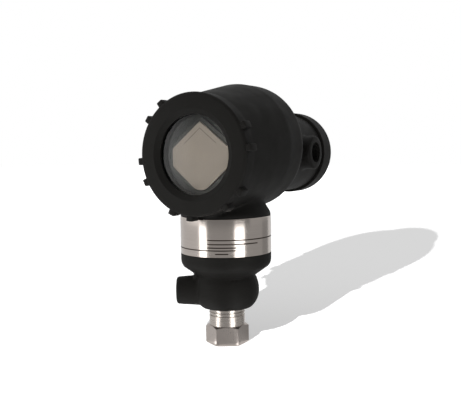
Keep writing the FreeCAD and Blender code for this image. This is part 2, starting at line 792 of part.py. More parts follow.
def front_cover():
    body = doc.addObject("PartDesign::Body", "front_cover_body")
    seat = size.cover_length
    thread = size.front_thread_radius - size.running_clearance
    groove = seat + size.seal_place
    root = thread - seal_groove()
    end = seat + size.cover_thread_length
    profile = sketch_on(body, "XZ_Plane", "front_cover_profile", [
        (size.window_radius, size.bezel_depth), (size.bezel_radius, 0),
        (size.cover_radius - size.cover_edge, 0), Bend(size.cover_edge),
        (size.cover_radius, size.cover_edge), (size.cover_radius, seat), (thread, seat),
        (thread, groove), (root, groove), (root, groove + size.seal_groove_width),
        (thread, groove + size.seal_groove_width), (thread, end), (size.cover_cavity_radius, end),
        (size.cover_cavity_radius, size.glass_pocket_end),
        (size.glass_pocket_radius, size.glass_pocket_end),
        (size.glass_pocket_radius, size.lip_depth), (size.window_radius, size.lip_depth)])
    spin = body.newObject("PartDesign::Revolution", "front_cover_turned")
    spin.Profile = profile
    spin.ReferenceAxis = (profile, ["V_Axis"])
    spin.Angle = 360
    half, inner = size.lug_width / 2, size.cover_radius - size.lug_bite
    outer = size.cover_radius + size.lug_height
    for name, side in (("first", -1), ("second", 1)):
        angle = SIZES["lug_phase"] + side * SIZES["lug_spread"]
        offset = Placement(Vector(0, 0, SIZES["lug_start"]), Rotation(Vector(0, 0, 1), angle))
        outline = [(inner, -half), (outer, -half), (outer, half), (inner, half)]
        sketch = sketch_on(body, "XY_Plane", "lug_%s_outline" % name, outline, offset)
        sketch.setExpression("AttachmentOffset.Base.z", size.lug_start.text)
        lug = body.newObject("PartDesign::Pad", "lug_%s" % name)
        lug.Profile = sketch
        bind(lug, Length=size.lug_length)
        doc.recompute()
        pattern = body.newObject("PartDesign::PolarPattern", "lugs_%s" % name)
        pattern.Originals = [lug]
        pattern.Axis = (profile, ["V_Axis"])
        pattern.Angle = SIZES["lug_sweep"]
        pattern.Occurrences = int(SIZES["lug_pairs"])
        body.Tip = pattern
    return node("front_cover", place(body, DRUM, BACK))


def window_parts():
    inner, outer = size.window_radius, size.glass_pocket_radius - size.fit_clearance
    low = size.lip_depth
    node("window_gasket", ring("gasket_ring", inner + size.gasket_inset, outer,
                               low, low + size.gasket_thickness, DRUM, BACK))
    low = low + size.gasket_thickness
    at = in_drum(0, 0, low)
    node("window_glass", cylinder("glass_disc", outer, size.glass_thickness, at, BACK))
    low = low + size.glass_thickness
    node("window_retainer", ring("retainer_ring", inner, outer, low, low + size.retainer_length,
                                 DRUM, BACK))


def cover_seals():
    front = size.cover_length + size.seal_place + size.seal_groove_width / 2
    radius = size.front_thread_radius - size.running_clearance - size.seal_thickness / 2
    node("front_cover_seal", torus("front_seal_ring", radius, size.seal_thickness / 2,
                                   in_drum(0, 0, front), BACK))
    rear = rear_seat() - size.seal_place - size.seal_groove_width / 2
    radius = size.rear_thread_radius - size.running_clearance - size.seal_thickness / 2
    node("rear_cover_seal", torus("rear_seal_ring", radius, size.seal_thickness / 2,
                                  in_drum(0, 0, rear), BACK))


def rear_seat():
    """Distance of the rear cover's flange behind the front cover's face."""
    return size.rear_drum_end + size.face_clearance


# ---------------------------------------------------------------- rear cover

def rear_cover():
    seat = rear_seat()
    thread = size.rear_thread_radius - size.running_clearance
    root = thread - seal_groove()
    groove = seat - size.seal_place - size.seal_groove_width
    start, end = seat - size.rear_cover_thread, seat + size.dome_length
    shoulder = end - size.dome_bend
    ceiling = end - size.dome_wall - size.tool_slot_depth
    belly = size.dome_radius - size.dome_wall
    blank = turned("rear_cover_blank", [
        (size.dome_cavity_radius, start), (thread, start), (thread, groove), (root, groove),
        (root, groove + size.seal_groove_width), (thread, groove + size.seal_groove_width),
        (thread, seat), (size.dome_radius, seat), (size.dome_radius, shoulder),
        Bend(size.dome_bend), (size.dome_radius - size.dome_bend, end), (0, end), (0, ceiling),
        (belly - size.dome_wall, ceiling), (belly, ceiling - size.dome_wall),
        (belly, seat + size.dome_lip), (size.dome_cavity_radius, seat + size.dome_lip)], DRUM, BACK)
    slot = box("rear_cover_slot", size.tool_slot_length, size.tool_slot_depth, size.tool_slot_width,
               in_drum(-size.tool_slot_length / 2, -size.tool_slot_width / 2, end - size.tool_slot_depth))
    return node("rear_cover", cut("rear_cover_solid", blank, slot))


# ---------------------------------------------------------------- display

def eased(corners):
    """An outline whose corners, given as (x, y, radius) anticlockwise, are rounded off."""
    outline = []
    for index, (x, y, radius) in enumerate(corners):
        here = Vector(number(x), number(y), 0)
        arms = []
        for other in (corners[index - 1], corners[(index + 1) % len(corners)]):
            arms.append((Vector(number(other[0]), number(other[1]), 0) - here).normalize())
        reach = 1 / math.tan(arms[0].getAngle(arms[1]) / 2)
        first, last = [(x + radius * (reach * arm.x), y + radius * (reach * arm.y)) for arm in arms]
        outline += [first, Bend(radius), last]
    return outline


def panel_block(name, margin, low, high):
    """A block with the display's outline, which stands on its point, grown by a margin."""
    upper, lower = SIZES["plate_upper_slope"], SIZES["plate_lower_slope"]
    top = size.plate_top + margin * math.hypot(1, upper)
    chin = size.plate_chin + margin * math.hypot(1, lower)
    width = size.plate_half_width + margin
    shoulder, hip = top - width * size.plate_upper_slope, chin - width * size.plate_lower_slope
    side_radius = size.plate_side_radius + margin
    corners = [
        (0, -top, size.plate_top_radius + margin), (width, -shoulder, side_radius),
        (width, hip, side_radius), (0, chin, size.plate_chin_radius + margin),
        (-width, hip, side_radius), (-width, -shoulder, side_radius)]
    body = doc.addObject("PartDesign::Body", name)
    sketch = sketch_on(body, "XY_Plane", name + "_outline", eased(corners),
                       Placement(Vector(0, 0, number(low)), Rotation()))
    sketch.setExpression("AttachmentOffset.Base.z", low.text)
    pad = body.newObject("PartDesign::Pad", name + "_pad")
    pad.Profile = sketch
    bind(pad, Length=high - low)
    body.Tip = pad
    return place(body, DRUM, BACK)


def display_parts():
    fit, margin = size.fit_clearance, size.frame_margin
    inner = margin - size.frame_wall
    plate_back = size.plate_front + size.plate_thickness
    node("display_plate", panel_block("plate", 0, size.plate_front, plate_back))
    frame = panel_block("case_frame", margin, size.frame_front, size.case_back)
    face = cylinder("case_face", size.face_radius, size.face_thickness,
                    in_drum(0, 0, size.face_front), BACK)
    pocket = panel_block("case_pocket", fit, size.frame_front, plate_back)
    inside = panel_block("case_inside", inner, plate_back + size.frame_wall, size.case_back)
    node("display_case", cut("display_case_solid", fuse("case_blank", frame, face), pocket, inside))
    node("display_board", panel_block("board_block", inner - fit,
                                      size.case_back - size.display_board_thickness, size.case_back))
    back = panel_block("back_block", margin, size.case_back, size.case_back + size.back_thickness)
    pivot = cylinder("back_pivot", size.pivot_radius, size.pivot_length + size.back_thickness,
                     in_drum(0, 0, size.case_back), BACK)
    node("display_back", fuse("display_back_solid", back, pivot))


def display_mount():
    """The fixed plate that carries the turning display on posts from the electronics module."""
    front = size.case_back + size.back_thickness + size.face_clearance
    back = front + size.mount_thickness
    disc = cylinder("mount_disc", size.mount_radius, size.mount_thickness, in_drum(0, 0, front), BACK)
    posts = []
    for index, (x, rise) in enumerate(post_places(), start=1):
        posts.append(cylinder("mount_post_%d" % index, size.mount_post_radius, size.module_front - back,
                              in_drum(x, rise, back), BACK))
    hole = cylinder("mount_hole", size.pivot_radius + size.running_clearance, size.mount_thickness,
                    in_drum(0, 0, front), BACK)
    return node("display_mount", cut("display_mount_solid", fuse("mount_blank", disc, *posts), hole))


def on_post_circle(angle):
    """A point of the circle through the posts: sideways and above the axis."""
    turn = math.radians(angle)
    return size.mount_post_circle * math.cos(turn), size.mount_post_circle * math.sin(turn)


def post_places():
    count = int(SIZES["mount_post_count"])
    return [on_post_circle(90 + 360 * index / count) for index in range(count)]


# ---------------------------------------------------------------- electronics and terminals

def electronics():
    shelf = size.module_front + size.module_neck
    blank = turned("module_blank", [
        (0, size.module_front), (size.module_neck_radius, size.module_front),
        (size.module_neck_radius, shelf), (size.module_radius, shelf),
        (size.module_radius, size.web_front), (0, size.web_front)], DRUM, BACK)
    columns, holes, screws = [], [], []
    for index, (x, rise) in enumerate(post_places(), start=1):
        columns.append(cylinder("module_column_%d" % index, size.mount_post_radius,
                                size.module_neck, in_drum(x, rise, size.module_front), BACK))
    depth = size.web_front - shelf
    for index, angle in enumerate(MODULE_SCREW_ANGLES, start=1):
        x, rise = on_post_circle(angle)
        holes.append(cylinder("module_hole_%d" % index, size.screw_shank_radius + size.fit_clearance,
                              depth, in_drum(x, rise, shelf), BACK))
        screws.append(socket_screw("module_screw_%d" % index, size.screw_shank_radius,
                                   depth - size.screw_end_gap, in_drum(x, rise, shelf), FORWARD))
    node("electronics_module", cut("electronics_solid", fuse("module_body", blank, *columns), *holes))
    node("electronics_screws", group("module_screw_group", screws))


def terminals():
    low, top = size.web_back, size.web_back + size.terminal_base
    bar_top = top + size.terminal_bar_height
    base = cylinder("terminal_base_disc", size.terminal_base_radius, size.terminal_base,
                    in_drum(0, 0, low), BACK)
    bar = box("terminal_bar", size.terminal_bar_length, size.terminal_bar_height, size.terminal_bar_width,
              in_drum(-size.terminal_bar_length / 2, -size.terminal_bar_width / 2, top))
    walls, screws, holes = [], [], []
    count = int(SIZES["terminal_count"])
    for index in range(count + 1):
        x = size.terminal_pitch * (index - count / 2) - size.barrier_thickness / 2
        walls.append(box("terminal_wall_%d" % (index + 1), size.barrier_thickness,
                         size.terminal_bar_height + size.barrier_height, size.terminal_bar_width,
                         in_drum(x, -size.terminal_bar_width / 2, top)))
    for index in range(count):
        x = size.terminal_pitch * (index - (count - 1) / 2)
        holes.append(cylinder("terminal_hole_%d" % (index + 1), size.screw_shank_radius + size.fit_clearance,
                              size.terminal_bar_height, in_drum(x, 0, top), BACK))
        screws.append(socket_screw("terminal_screw_%d" % (index + 1), size.screw_shank_radius,
                                   size.terminal_bar_height - size.screw_end_gap,
                                   in_drum(x, 0, bar_top), BACK))
    fixing_holes, fixings = [], []
    for index, side in enumerate((-1, 1), start=1):
        rise = side * (size.terminal_base_radius - size.screw_head_radius - size.fixing_screw_inset)
        fixing_holes.append(cylinder("fixing_hole_%d" % index, size.screw_shank_radius + size.fit_clearance,
                                     size.terminal_base, in_drum(0, rise, low), BACK))
        fixings.append(socket_screw("fixing_screw_%d" % index, size.screw_shank_radius,
                                    size.terminal_base - size.screw_end_gap, in_drum(0, rise, top), BACK))
    blank = fuse("terminal_blank", base, bar, *walls)
    node("terminal_block", cut("terminal_block_solid", blank, *(holes + fixing_holes)))
    node("terminal_screws", group("terminal_screw_group", screws))
    node("terminal_fixing_screws", group("fixing_screw_group", fixings))


process_stem()
sensor_body()
vent_plug()
sensor_collar()
sensor_neck()
neck_seal()
sensing_parts()
housing()
housing_screws()
front_cover()
window_parts()
cover_seals()
rear_cover()
display_parts()
display_mount()
electronics()
terminals()

doc.recompute()
faults = [thing.Name for thing in doc.Objects if "Invalid" in thing.State or "Error" in thing.State]
for label, thing in nodes:
    if thing.Shape.isNull() or not thing.Shape.isValid() or not thing.Shape.Solids:
        faults.append(label)
if faults:
    raise RuntimeError("These objects failed: %s" % ", ".join(faults))

os.makedirs("parts", exist_ok=True)
for label, thing in nodes:
    thing.Shape.exportStep(os.path.join("parts", label + ".step"))
    print("%-24s %2d solids %10.1f mm3" % (label, len(thing.Shape.Solids), thing.Shape.Volume))
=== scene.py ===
"""Looks of a field pressure transmitter: black cast housing on a turned steel sensor collar.

Lengths in the classes are millimetres. +Z is up, the origin is the centre of the hexagon's flat
bottom, and the drum lies along Y with the window cover at -Y and the blind cover at +Y.
"""

import logging
import math
from collections.abc import Iterable, Sequence
from dataclasses import dataclass
from enum import Enum

import bmesh
import bpy
from mathutils import Matrix, Vector


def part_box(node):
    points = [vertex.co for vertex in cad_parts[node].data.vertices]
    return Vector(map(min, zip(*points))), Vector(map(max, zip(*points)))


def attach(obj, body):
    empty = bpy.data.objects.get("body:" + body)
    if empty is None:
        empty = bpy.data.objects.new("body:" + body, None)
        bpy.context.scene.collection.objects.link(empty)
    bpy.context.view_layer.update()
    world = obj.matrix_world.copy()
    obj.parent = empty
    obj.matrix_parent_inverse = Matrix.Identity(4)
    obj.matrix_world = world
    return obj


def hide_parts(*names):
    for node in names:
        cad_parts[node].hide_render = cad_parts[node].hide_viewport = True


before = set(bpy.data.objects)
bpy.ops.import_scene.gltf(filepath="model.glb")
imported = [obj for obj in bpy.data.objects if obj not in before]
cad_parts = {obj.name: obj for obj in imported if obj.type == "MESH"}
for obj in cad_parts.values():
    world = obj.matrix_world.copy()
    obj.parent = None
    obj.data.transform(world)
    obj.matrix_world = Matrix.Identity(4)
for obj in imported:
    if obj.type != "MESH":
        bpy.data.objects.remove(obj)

LOG = logging.getLogger("transmitter")
MM = 0.001
SHARP = math.radians(32)
CHAMFER = 0.4
SEAL_WIDTH = 2.6
SEAL_DEPTH = 1.95
Outline = list[tuple[float, float]]
Piece = bpy.types.Object
Mesh = bmesh.types.BMesh
Tree = bpy.types.NodeTree
Node = bpy.types.Node
Socket = bpy.types.NodeSocket


class Seat(Enum):
    """The frames that pieces are drawn in, each with its own Z along the piece's axis."""

    STEM = Matrix.Identity(4)
    DRUM = Matrix.Translation((0, -51.8 * MM, 161.7 * MM)) @ Matrix.Rotation(math.radians(-90), 4, "X")
    VENT = (Matrix.Translation((0, 0, 45.5 * MM)) @ Matrix.Rotation(math.radians(210), 4, "Z")
            @ Matrix.Rotation(math.radians(90), 4, "Y"))


class Body(Enum):
    """The moving bodies that pieces ride on."""

    BASE = "base"
    VENT_PLUG = "vent_plug"
    HOUSING = "housing"
    DISPLAY = "display"
    FRONT_COVER = "front_cover"
    REAR_COVER = "rear_cover"


# ---------------------------------------------------------------- finishes


def linear(code: str) -> tuple[float, float, float, float]:
    """Turn an sRGB hex colour into linear RGBA.

    Args:
        code: six hex digits.

    Returns:
        The colour with an alpha of 1.
    """
    shares = [int(code[i:i + 2], 16) / 255 for i in (0, 2, 4)]
    return (*[c / 12.92 if c <= 0.04045 else ((c + 0.055) / 1.055) ** 2.4 for c in shares], 1.0)


def add_node(tree: Tree, kind: str, settings: dict | None = None, **links: object) -> Node:
    """Add a node to a tree.

    Args:
        tree: the tree that gets it.
        kind: the node's type.
        settings: properties, or input values where the name or index is an input's.
        links: an input's name, with underscores for spaces, or in_N for input N, and the output
            or value that goes into it.

    Returns:
        The node.
    """
    made = tree.nodes.new(kind)
    for key, value in (settings or {}).items():
        if isinstance(key, str) and hasattr(made, key):
            setattr(made, key, value)
        else:
            made.inputs[key].default_value = value
    for key, source in links.items():
        socket = made.inputs[int(key[3:])] if key.startswith("in_") else made.inputs[key.replace("_", " ")]
        if isinstance(source, Socket):
            tree.links.new(source, socket)
        else:
            socket.default_value = source
    return made


class Surface:
    """A material in the making: its tree, its shader and the coordinates that patterns are drawn on."""

    def __init__(self, finish: "Finish") -> None:
        """Start the material with its finish's plain settings.

        Args:
            finish: what it is made from.
        """
        self.finish = finish
        self.material = bpy.data.materials.new(finish.name)
        self.material.use_nodes = True
        self.tree = self.material.node_tree
        self.shader = self.tree.nodes["Principled BSDF"]
        self.place = add_node(self.tree, "ShaderNodeTexCoord").outputs["Object"]
        for label, value in (("Base Color", linear(finish.colour)), ("Roughness", finish.roughness),
                             ("Metallic", finish.metallic), ("Specular IOR Level", finish.specular)):
            self.shader.inputs[label].default_value = value

    def drive(self, label: str, source: Socket) -> None:
        """Let a socket drive one of the shader's inputs."""
        self.tree.links.new(source, self.shader.inputs[label])

    def noise(self, size: float, detail: float, rough: float = 0.5,
              stretch: tuple[float, float, float] | None = None) -> Socket:
        """Soft noise from 0 to 1.

        Args:
            size: width of a patch in mm.
            detail: how many finer layers it has.
            rough: how much each finer layer counts.
            stretch: what the coordinates are scaled by first, small where patches are drawn long.

        Returns:
            The noise.
        """
        place = self.place
        if stretch:
            mapping = add_node(self.tree, "ShaderNodeMapping", {"Scale": stretch}, Vector=place)
            place = mapping.outputs["Vector"]
        return add_node(self.tree, "ShaderNodeTexNoise", {"Scale": 1 / (size * MM), "Detail": detail,
                                                          "Roughness": rough}, Vector=place).outputs["Fac"]

    def vary(self, share: Socket, loss: float, spread: float = 0.05) -> None:
        """Let tone and gloss follow a share from 0 to 1.

        Args:
            share: what they follow.
            loss: how much of the colour the darkest place loses.
            spread: how far the roughness goes either way.
        """
        base, rough = linear(self.finish.colour), self.finish.roughness
        dark = tuple(c * (1 - loss) for c in base[:3]) + (1.0,)
        tone = add_node(self.tree, "ShaderNodeMix", {"data_type": "RGBA"}, in_0=share, in_6=dark, in_7=base)
        self.drive("Base Color", tone.outputs[2])
        gloss = add_node(self.tree, "ShaderNodeMapRange", {
            "From Min": 0.3, "From Max": 0.7, "To Min": max(rough - spread, 0.02),
            "To Max": rough + spread}, Value=share)
        self.drive("Roughness", gloss.outputs["Result"])

    def bump(self, share: Socket, strength: float, height: float) -> None:
        """Let the surface rise and fall with a share.

        Args:
            share: what it follows.
            strength: how strongly it shows, from 0 to 1.
            height: how far it rises in mm.
        """
        bump = add_node(self.tree, "ShaderNodeBump", {"Strength": strength, "Distance": height * MM},
                        Height=share)
        self.drive("Normal", bump.outputs["Normal"])


@dataclass(frozen=True)
class Finish:
    """What every finish has: a name, a colour and the shader's plain settings."""

    name: str
    colour: str
    roughness: float = 0.5
    metallic: float = 0.0
    specular: float = 0.5

    def build(self) -> bpy.types.Material:
        """Make the material, unless it is made already.

        Returns:
            The material.
        """
        if self.name not in bpy.data.materials:
            self.pattern(Surface(self))
        return bpy.data.materials[self.name]

    def pattern(self, surface: Surface) -> None:
        """Add the finish's own pattern. A plain finish varies a little in tone and gloss."""
        surface.vary(surface.noise(6.0, 3.0), 0.12)


@dataclass(frozen=True)
class PowderCoat(Finish):
    """Black polyester powder on cast aluminium: satin, with the slow ripple of orange peel."""

    peel: float = 1.8
    peel_height: float = 0.02

    def pattern(self, surface: Surface) -> None:
        """Add tone patches and the peel."""
        surface.vary(surface.noise(14.0, 3.0), 0.15)
        surface.bump(surface.noise(self.peel, 2.0), 0.6, self.peel_height)


@dataclass(frozen=True)
class TurnedSteel(Finish):
    """Stainless bar finished on a lathe: fine rings about the axis, which stretch the highlights.

    The feed marks are 0.1 mm apart on the real surface and are drawn a few times coarser, to show.
    """

    feed: float = 0.45
    depth: float = 0.004
    contrast: float = 0.20

    def pattern(self, surface: Surface) -> None:
        """Add the feed marks in tone, gloss and height.

        Args:
            surface: the material in the making.
        """
        rings = surface.noise(self.feed, 4.0, 0.7, stretch=(0.01, 0.01, 1.0))
        surface.vary(rings, self.contrast, 0.06)
        surface.bump(rings, 0.5, self.depth)


@dataclass(frozen=True)
class MilledSteel(Finish):
    """Stainless hexagon as it comes from bar stock: a fine grain drawn along the bar."""

    grain: float = 0.5
    depth: float = 0.003

    def pattern(self, surface: Surface) -> None:
        """Add the drawn grain in tone, gloss and height.

        Args:
            surface: the material in the making.
        """
        grain = surface.noise(self.grain, 5.0, 0.65, stretch=(1.0, 1.0, 0.12))
        surface.vary(grain, 0.12, 0.04)
        surface.bump(grain, 0.3, self.depth)


@dataclass(frozen=True)
class Moulded(Finish):
    """Moulded plastic with a fine spark-eroded texture, which scatters the light evenly."""

    grit: float = 0.5
    height: float = 0.01

    def pattern(self, surface: Surface) -> None:
        """Add the texture and a slight change of tone."""
        surface.vary(surface.noise(9.0, 3.0), 0.10)
        surface.bump(surface.noise(self.grit, 2.0), 0.5, self.height)


@dataclass(frozen=True)
class CircuitBoard(Finish):
    """Epoxy glass board under solder mask, with the copper tracks showing through a shade lighter."""

    track: float = 1.6

    def pattern(self, surface: Surface) -> None:
        """Add square-cornered tracks.

        Args:
            surface: the material in the making.
        """
        base = linear(self.colour)
        bricks = add_node(surface.tree, "ShaderNodeTexBrick", {
            "Scale": 1 / (self.track * 4 * MM), "Mortar Size": 0.03, "Mortar Smooth": 0.2, "Color1": base,
            "Color2": tuple(c * 0.85 for c in base[:3]) + (1,),
            "Mortar": tuple(min(c * 1.9, 1) for c in base[:3]) + (1,)}, Vector=surface.place)
        surface.drive("Base Color", bricks.outputs["Color"])


@dataclass(frozen=True)
class ToughenedGlass(Finish):
    """A clear toughened pane. Lamps reach what is behind it, as through any flat pane."""

    def pattern(self, surface: Surface) -> None:
        """Let lamps through, and give the face a faint film of wiping.

        Args:
            surface: the material in the making.
        """
        tree = surface.tree
        surface.shader.inputs["Transmission Weight"].default_value = 1.0
        surface.shader.inputs["IOR"].default_value = 1.5
        gloss = add_node(tree, "ShaderNodeMapRange", {"From Min": 0.4, "From Max": 0.8, "To Min": 0.0,
                                                      "To Max": 0.03}, Value=surface.noise(12.0, 2.0))
        surface.drive("Roughness", gloss.outputs["Result"])
        clear = add_node(tree, "ShaderNodeBsdfTransparent", {"Color": linear(self.colour)})
        path = add_node(tree, "ShaderNodeLightPath")
        both = add_node(tree, "ShaderNodeMixShader", in_0=path.outputs["Is Shadow Ray"],
                        in_1=surface.shader.outputs["BSDF"], in_2=clear.outputs["BSDF"])
        tree.links.new(both.outputs["Shader"], tree.nodes["Material Output"].inputs["Surface"])


BLACK_COAT = PowderCoat("polyester_powder_coat", "151412", 0.62, specular=0.12)
BLACK_PAINT = PowderCoat("epoxy_painted_casting", "161513", 0.66, specular=0.12, peel=1.4)
COLLAR_STEEL = TurnedSteel("turned_stainless_collar", "c4bbb4", 0.17, 1.0)
# Dark steel for the groove floors: painted shade inside the collar's grooves.
GROOVE_SHADE_STEEL = TurnedSteel("stained_groove", "4a3f38", 0.45, 1.0)
STEM_STEEL = TurnedSteel("turned_stainless_stem", "beb6af", 0.26, 1.0, feed=0.35)
HEX_STEEL = MilledSteel("drawn_stainless_hexagon", "b9b0aa", 0.30, 1.0)
SCREW_STEEL = TurnedSteel("stainless_screw", "b4aeaa", 0.3, 1.0, feed=0.25)
GLASS = ToughenedGlass("toughened_glass", "f4f6f4", 0.0)
PLATE = Moulded("satin_display_window", "83766c", 0.42, grit=0.35, height=0.003)
# A dark strip on the display panel: painted shade of a bezel step's edge.
PLATE_STEP_SHADE = Moulded("display_window_line", "4a3f38", 0.5)
CASE = Moulded("moulded_display_case", "2b2926", 0.55)
BEZEL_LINER = Moulded("anodised_retainer", "2a2827", 0.5)
BOARD = CircuitBoard("solder_masked_board", "1f4d33", 0.4)
MODULE = Moulded("glass_filled_nylon", "2b2b2c", 0.5, grit=0.7)
TERMINAL = Moulded("thermoset_terminal_block", "3a3937", 0.55)
CONNECTOR = Moulded("connector_housing_nylon", "d8d3c8", 0.45)
RUBBER = Moulded("nitrile_seal", "141414", 0.7, specular=0.3, grit=0.3)
HEADER = Finish("glass_sealed_header", "8d8a84", 0.35, 0.8)
PINS = Finish("gold_plated_pins", "d9b56a", 0.25, 1.0)


# ---------------------------------------------------------------- mesh work


def bend(start: tuple[float, float], end: tuple[float, float], radius: float, side: int = 1,
         steps: int = 8) -> Outline:
    """Points of an arc between two outline points, without its ends.

    Args:
        start: where the arc starts.
        end: where it ends.
        radius: its radius.
        side: 1 where it swells to the right of the path, -1 to the left.
        steps: how many straight steps stand for it.

    Returns:
        The points between.
    """
    a, b = Vector(start), Vector(end)
    chord = b - a
    off = Vector((chord.y, -chord.x)).normalized() * side
    centre = (a + b) / 2 - off * math.sqrt(max(radius ** 2 - chord.length_squared / 4, 0))
    first = math.atan2(a.y - centre.y, a.x - centre.x)
    turn = math.atan2(b.y - centre.y, b.x - centre.x) - first
    turn = (turn + math.pi) % (2 * math.pi) - math.pi
    return [(centre.x + radius * math.cos(first + turn * k / steps),
             centre.y + radius * math.sin(first + turn * k / steps)) for k in range(1, steps)]


def square_groove(wall: float, root: float, low: float, width: float) -> Outline:
    """The corners of a square groove in a wall, from its low side up."""
    return [(wall, low), (root, low), (root, low + width), (wall, low + width)]


def stepped(low: float, *steps: tuple[float, float]) -> Outline:
    """The outline of cylinders end to end on one axis.

    Args:
        low: where the first starts.
        steps: each one's radius and where it ends.

    Returns:
        The outline.
    """
    points: Outline = [(0.0, low)]
    for radius, end in steps:
        points += [(radius, points[-1][1]), (radius, end)]
    return [*points, (0.0, points[-1][1])]


def ring(mesh: Mesh, radius: float, height: float, steps: int,
         rise: float = 0.0) -> list[bmesh.types.BMVert]:
    """Points round a circle.

    Args:
        mesh: the mesh that gets them.
        radius: the circle's radius in mm.
        height: its height in mm.
        steps: how many points it has.
        rise: how far its centre lies towards -Y in mm.

    Returns:
        The points in order.
    """
    turns = [2 * math.pi * k / steps for k in range(steps)]
    return [mesh.verts.new((radius * MM * math.cos(turn), radius * MM * math.sin(turn) - rise * MM,
                            height * MM)) for turn in turns]


def lathe(outline: Outline, seat: Matrix = Seat.STEM.value, steps: int = 160) -> Mesh:
    """Turn a closed outline of (radius, height) points about a seat's Z.

    Args:
        outline: the points in mm, the last joined to the first. Radius 0 is on the axis.
        seat: the frame the outline is drawn in.
        steps: how many facets go round.

    Returns:
        The mesh, closed and facing outwards.
    """
    mesh = bmesh.new()
    rows = []
    for radius, height in outline:
        if radius < 1e-6:
            rows.append([mesh.verts.new((0, 0, height * MM))] * steps)
        else:
            rows.append(ring(mesh, radius, height, steps))
    for low, high in zip(rows, rows[1:] + rows[:1]):
        for k in range(steps):
            corners = [low[k], low[(k + 1) % steps], high[(k + 1) % steps], high[k]]
            loop = list(dict.fromkeys(corners))
            if len(loop) > 2:
                mesh.faces.new(loop)
    bmesh.ops.recalc_face_normals(mesh, faces=mesh.faces)
    mesh.transform(seat)
    return mesh


def prism(points: Sequence[tuple[float, float]], low: float, high: float,
          seat: Matrix = Seat.STEM.value) -> Mesh:
    """A straight block over an outline.

    Args:
        points: the outline's corners in mm, in order.
        low: height of its foot.
        high: height of its top.
        seat: the frame it is drawn in.

    Returns:
        The mesh.
    """
    mesh = bmesh.new()
    foot = [mesh.verts.new((x * MM, y * MM, low * MM)) for x, y in points]
    top = [mesh.verts.new((x * MM, y * MM, high * MM)) for x, y in points]
    mesh.faces.new(foot)
    mesh.faces.new(top)
    for k in range(len(points)):
        after = (k + 1) % len(points)
        mesh.faces.new((foot[k], foot[after], top[after], top[k]))
    bmesh.ops.recalc_face_normals(mesh, faces=mesh.faces)
    mesh.transform(seat)
    return mesh


def polygon(count: int, radius: float, start: float = 0.0) -> list[tuple[float, float]]:
    """Corners of a regular polygon: how many, their radius and the first one's angle in degrees."""
    return [(radius * math.cos(math.radians(start) + 2 * math.pi * k / count),
             radius * math.sin(math.radians(start) + 2 * math.pi * k / count)) for k in range(count)]


def as_object(name: str, *parts: Mesh) -> Piece:
    """Put meshes together in one new object.

    Args:
        name: the object's name.
        parts: the meshes, which are used up.

    Returns:
        The object, in the scene and at the origin.
    """
    whole = bmesh.new()
    for part in parts:
        step = bpy.data.meshes.new("step")
        part.to_mesh(step)
        part.free()
        whole.from_mesh(step)
        bpy.data.meshes.remove(step)
    data = bpy.data.meshes.new(name)
    whole.to_mesh(data)
    whole.free()
    made = bpy.data.objects.new(name, data)
    bpy.context.scene.collection.objects.link(made)
    return made


def settle(piece: Piece) -> Piece:
    """Turn a piece and its modifiers into a plain mesh.

    Args:
        piece: the object.

    Returns:
        The same object with no modifiers.
    """
    graph = bpy.context.evaluated_depsgraph_get()
    data = bpy.data.meshes.new_from_object(piece.evaluated_get(graph), depsgraph=graph)
    piece.modifiers.clear()
    old = piece.data
    piece.data = data
    data.name = piece.name
    if old.users == 0:
        bpy.data.meshes.remove(old)
    return piece


def carve(piece: Piece, *tools: Piece, operation: str = "DIFFERENCE") -> Piece:
    """Cut tools out of a piece, or keep what they share with it, and delete them.

    Args:
        piece: what is cut.
        tools: closed meshes.
        operation: DIFFERENCE or INTERSECT.

    Returns:
        The piece.
    """
    for tool in tools:
        step = piece.modifiers.new("carve", "BOOLEAN")
        step.object, step.operation, step.solver = tool, operation, "EXACT"
        settle(piece)
        bpy.data.objects.remove(tool)
    return piece


def cast(piece: Piece, grain: float, passes: int) -> Piece:
    """Fuse a piece's shells into one skin with soft inner corners, as a casting has.

    Args:
        piece: an object of closed shells that overlap.
        grain: width of a facet in mm.
        passes: how often the skin is smoothed.

    Returns:
        The piece.
    """
    skin = piece.modifiers.new("skin", "REMESH")
    skin.mode, skin.voxel_size, skin.adaptivity = "VOXEL", grain * MM, 0.0
    soften = piece.modifiers.new("soften", "SMOOTH")
    soften.factor, soften.iterations = 0.5, passes
    return settle(piece)


def smooth(piece: Piece, angle: float = SHARP) -> Piece:
    """Shade a piece smooth, with its sharp edges left sharp.

    Args:
        piece: the object.
        angle: the least turn that counts as sharp.

    Returns:
        The piece.
    """
    piece.data.shade_smooth()
    piece.data.set_sharp_from_angle(angle=angle)
    return piece


def ease_edges(piece: Piece, width: float, segments: int = 2) -> Piece:
    """Break a piece's sharp edges.

    Args:
        piece: the object.
        width: the bevel's width in mm.
        segments: its facets.

    Returns:
        The piece, with the bevel made part of its mesh.
    """
    edge = piece.modifiers.new("edge", "BEVEL")
    edge.width, edge.segments, edge.limit_method = width * MM, segments, "ANGLE"
    edge.angle_limit, edge.use_clamp_overlap = math.radians(35), True
    return settle(piece)


def fit(piece: Piece, body: Body, finish: Finish, slot: str, *nodes: str) -> Piece:
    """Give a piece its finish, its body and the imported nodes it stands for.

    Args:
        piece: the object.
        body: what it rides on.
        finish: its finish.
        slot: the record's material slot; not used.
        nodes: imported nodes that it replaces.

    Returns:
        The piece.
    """
    piece.data.materials.clear()
    piece.data.materials.append(finish.build())
    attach(piece, body.value)
    if nodes:
        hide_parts(*nodes)
    LOG.info("%s: %d faces", piece.name, len(piece.data.polygons))
    return piece


def copied(node: str, name: str) -> Piece:
    """A smooth-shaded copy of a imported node, for a piece whose shape is right.

    Args:
        node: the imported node.
        name: the copy's name.

    Returns:
        The copy, with its corners joined.
    """
    mesh = bmesh.new()
    mesh.from_mesh(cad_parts[node].data)
    bmesh.ops.remove_doubles(mesh, verts=mesh.verts, dist=0.002 * MM)
    return smooth(as_object(name, mesh))


